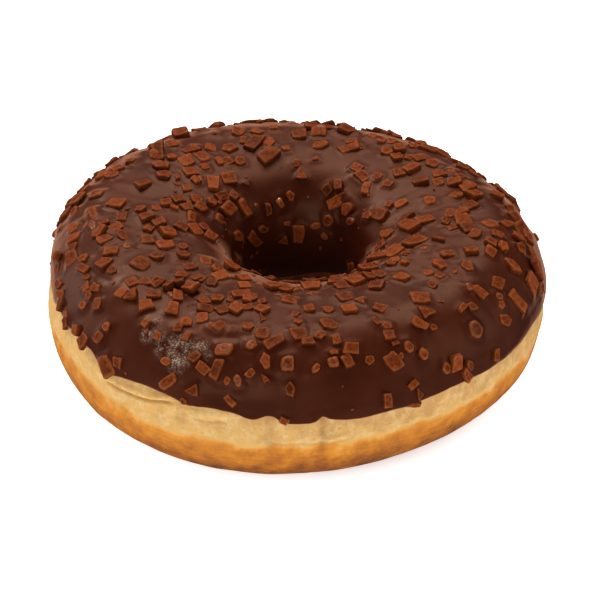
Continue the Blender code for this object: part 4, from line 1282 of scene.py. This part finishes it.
def icing_relief(angle, girth):
    """Slow waves of the icing, ripples down its slopes, and a faint unevenness."""
    points = bare_skin(angle, girth)
    ring = np.stack([np.cos(angle) * CREST_RADIUS / RIPPLE_WIDTH, np.sin(angle) * CREST_RADIUS / RIPPLE_WIDTH,
                     girth / RIPPLE_LENGTH], axis=-1)
    strong = LEAST_RIPPLE
    for middle, reach, girth_middle, girth_reach in RIPPLED:
        away = degrees_from(angle, middle) / reach
        strong = strong + np.exp(-away ** 2 - ((girth / MM - girth_middle) / girth_reach) ** 2)
    height = layers(points, ICING_LUMPS)
    return height + RIPPLE_HEIGHT * np.minimum(strong, 1.0) * lumps(ring, 1.0, 2.0)


def icing_top(angle, girth):
    """Offset of the visible icing's face from the skin."""
    start = outer_edge(angle)
    end = inner_edge(angle)
    from_edge = np.minimum(girth - start, end - girth)
    bead = np.clip(from_edge / BEAD_WIDTH, 0.0, 1.0)
    under = -dough_inset(girth)
    full = icing_inside(girth) + icing_thickness(np.maximum(from_edge, 0.0)) - under
    calm = smooth_step(from_edge, 0.0, CALM_WIDTH)
    return under + full * np.sqrt(1.0 - (1.0 - bead) ** 2) + calm * icing_relief(angle, girth)


def polygon_distance(points, corners):
    """Distance of points from an outline, 0 inside it."""
    nearest = np.full(len(points), np.inf)
    inside = np.ones(len(points), bool)
    for number, corner in enumerate(corners):
        along = corners[(number + 1) % len(corners)] - corner
        away = points - corner
        share = np.clip(away @ along / (along @ along), 0.0, 1.0)
        nearest = np.minimum(nearest, np.linalg.norm(away - share[:, None] * along, axis=1))
        inside &= along[0] * away[:, 1] - along[1] * away[:, 0] > 0
    return np.where(inside, 0.0, nearest)


def creep_up_pieces(points, pieces):
    """How far the icing creeps up the sides of the pieces that sit in it."""
    draw = random.Random(FILL_SEED + 3)
    flat = points.reshape(-1, 3)
    tree = kdtree.KDTree(len(flat))
    for number, point in enumerate(flat):
        tree.insert(point, number)
    tree.balance()
    lift = np.zeros(len(flat))
    for piece in pieces:
        rise = draw.uniform(*CREEP_RISE) + SOFT_CREEP_RISE * piece.softness
        reach = draw.uniform(*CREEP_REACH) + SOFT_CREEP_REACH * piece.softness
        near = [found[1] for found in tree.find_range(piece.base, 0.7 * piece.length + 2.2 * reach)]
        if not near:
            continue
        from_ring = np.array(piece_frame(piece, 0.0).inverted())
        local = flat[near] @ from_ring[:3, :3].T + from_ring[:3, 3]
        away = polygon_distance(local[:, :2], np.array(piece.outline))
        lift[near] = np.maximum(lift[near], rise * np.exp(-(away / reach) ** 2))
    return lift.reshape(points.shape[:-1])


def make_icing(pieces, material):
    """The cap: a rounded bead at each edge, the face between them, and an inner face set in the dough."""
    angles = ring_angles(SECTORS)
    start = outer_edge(angles)
    end = inner_edge(angles)
    bead = BEAD_WIDTH * (1.0 - np.cos(np.linspace(0.0, 0.5 * np.pi, BEAD_ROWS)))
    middle = np.linspace(0.0, 1.0, int((FULL_GIRTH * ICED_SHARE) / ICING_ROW))[1:-1]
    rows = [start + step for step in bead]
    rows += [start + BEAD_WIDTH + (end - start - 2 * BEAD_WIDTH) * share for share in middle]
    rows += [end - step for step in bead[::-1]]
    girth = np.array(rows)
    angle = np.broadcast_to(angles, girth.shape)
    face = skin(angle, girth, icing_top(angle, girth))
    face = face + skin_normal(angle, girth) * creep_up_pieces(face, pieces)[..., None]
    back_girth = np.array([end + (start - end) * share for share in np.linspace(0.0, 1.0, BACK_ROWS)])
    back_angle = np.broadcast_to(angles, back_girth.shape)
    back = skin(back_angle, back_girth, -dough_inset(back_girth) - EMBEDDED)
    points = np.concatenate([face, back])
    item = make_object("icing", points, ring_faces(points.shape[0], SECTORS), material)
    lip = LIP_LINE_SHARE * np.exp(-(np.minimum(girth - start, end - girth) / LIP_LINE) ** 2)
    add_attribute(item, "lip", np.concatenate([lip, 0.0 * back_girth]))
    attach(item, "root")
    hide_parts("chocolate_icing")
    return item


# Stage

# Lights: name, place, width and height, watts, colour. They point at the middle of the ring.
LIGHTS = (
    ("overhead", (-0.05, 0.45, 0.72), (0.9, 0.55), 7.3, (1.0, 0.81, 0.66)),
    ("spark", (-0.34, 0.42, 0.62), (0.035, 0.035), 1.3, (1.0, 0.93, 0.86)),
    ("front", (-0.28, -0.82, 0.33), (0.7, 0.25), 2.6, (1.0, 0.96, 0.92)),
    ("left", (-0.64, 0.30, 0.15), (0.5, 0.4), 1.3, (1.0, 0.74, 0.60)),
    ("right", (0.66, -0.10, 0.24), (0.5, 0.4), 1.25, (1.0, 0.78, 0.64)),
)
LIGHT_TARGET = (0.0, 0.0, 0.015)
AIR_COLOUR = (1.0, 0.93, 0.88, 1.0)
AIR_STRENGTH = 0.07

# The floor: half its side, its colour, a dim reddish glow under the ring that is painted shade with painted
# bounce light, its glow outside, and the radii between them
FLOOR_REACH = 3.0
PAPER = (0.72, 0.83, 0.95, 1.0)
PAINTED_SHADE_IN_HOLE = (0.075, 0.011, 0.003, 1.0)
GLOW_OUTSIDE = (1.02, 1.0, 0.98, 1.0)
GLOW_CHANGE = (0.032, 0.043)


def aim(item, place, target):
    """Puts an item at a place, looking down its own -Z at the target."""
    item.location = place
    item.rotation_euler = (Vector(target) - Vector(place)).to_track_quat("-Z", "Y").to_euler()


def add_light(name, place, size, power, colour):
    light = bpy.data.lights.new(name, "AREA")
    light.shape = "RECTANGLE"
    light.size = size[0]
    light.size_y = size[1]
    light.energy = power
    light.color = colour
    item = bpy.data.objects.new(name, light)
    bpy.context.scene.collection.objects.link(item)
    aim(item, place, LIGHT_TARGET)


def make_floor():
    material, tree, shader = new_material("paper")
    place = object_place(tree)
    away = add_node(tree, "ShaderNodeVectorMath", {0: place}, operation="LENGTH").outputs["Value"]
    # Painted shade: the glow falls to a dim reddish one under the ring and its hole
    glow_with_painted_shade = mix_colour(tree, remap(tree, away, *GLOW_CHANGE), PAINTED_SHADE_IN_HOLE, GLOW_OUTSIDE)
    set_inputs(tree, shader, {
        "Base Color": PAPER,
        "Roughness": 0.9,
        "Emission Color": glow_with_painted_shade,
        "Emission Strength": 1.0,
    })
    corners = [(x * FLOOR_REACH, y * FLOOR_REACH, 0.0) for x, y in ((-1, -1), (1, -1), (1, 1), (-1, 1))]
    floor = make_object("floor", corners, [(0, 1, 2, 3)], material)
    floor.visible_glossy = False


def make_world():
    world = bpy.data.worlds.new("studio")
    world.use_nodes = True
    background = world.node_tree.nodes["Background"]
    set_inputs(world.node_tree, background, {"Color": AIR_COLOUR, "Strength": AIR_STRENGTH})
    bpy.context.scene.world = world


def make_camera():
    camera = bpy.data.cameras.new("camera")
    camera.sensor_width = CAMERA_SENSOR
    camera.lens = CAMERA_SENSOR * PHOTO_FOCAL / PHOTO_SIDE
    camera.clip_start = 0.01
    item = bpy.data.objects.new("camera", camera)
    bpy.context.scene.collection.objects.link(item)
    item.location = EYE
    item.rotation_euler = (math.pi / 2 - VIEW_RISE, 0.0, 0.0)
    bpy.context.scene.camera = item


def make_stage():
    make_camera()
    make_world()
    make_floor()
    for light in LIGHTS:
        add_light(*light)
    bpy.context.scene.view_settings.view_transform = "Standard"
    bpy.context.scene.view_settings.look = "None"


def main():
    make_stage()
    view = View()
    pieces = solid_pieces(view)
    pieces += small_pieces(view, pieces)
    draw = random.Random(FILL_SEED + 4)
    for piece in pieces:
        if piece.softness == 0.0 and draw.random() < SOFT_SHARE:
            piece.softness = draw.uniform(*SLIGHTLY_SOFT)
    make_dough(dough_material())
    make_icing(pieces, icing_material(view))
    chocolate = piece_material()
    make_pieces("chocolate_pieces", pieces, chocolate, FILL_SEED + 2)
    make_pieces("chocolate_crumbs", crumbs(), chocolate, FILL_SEED + 5)


main()
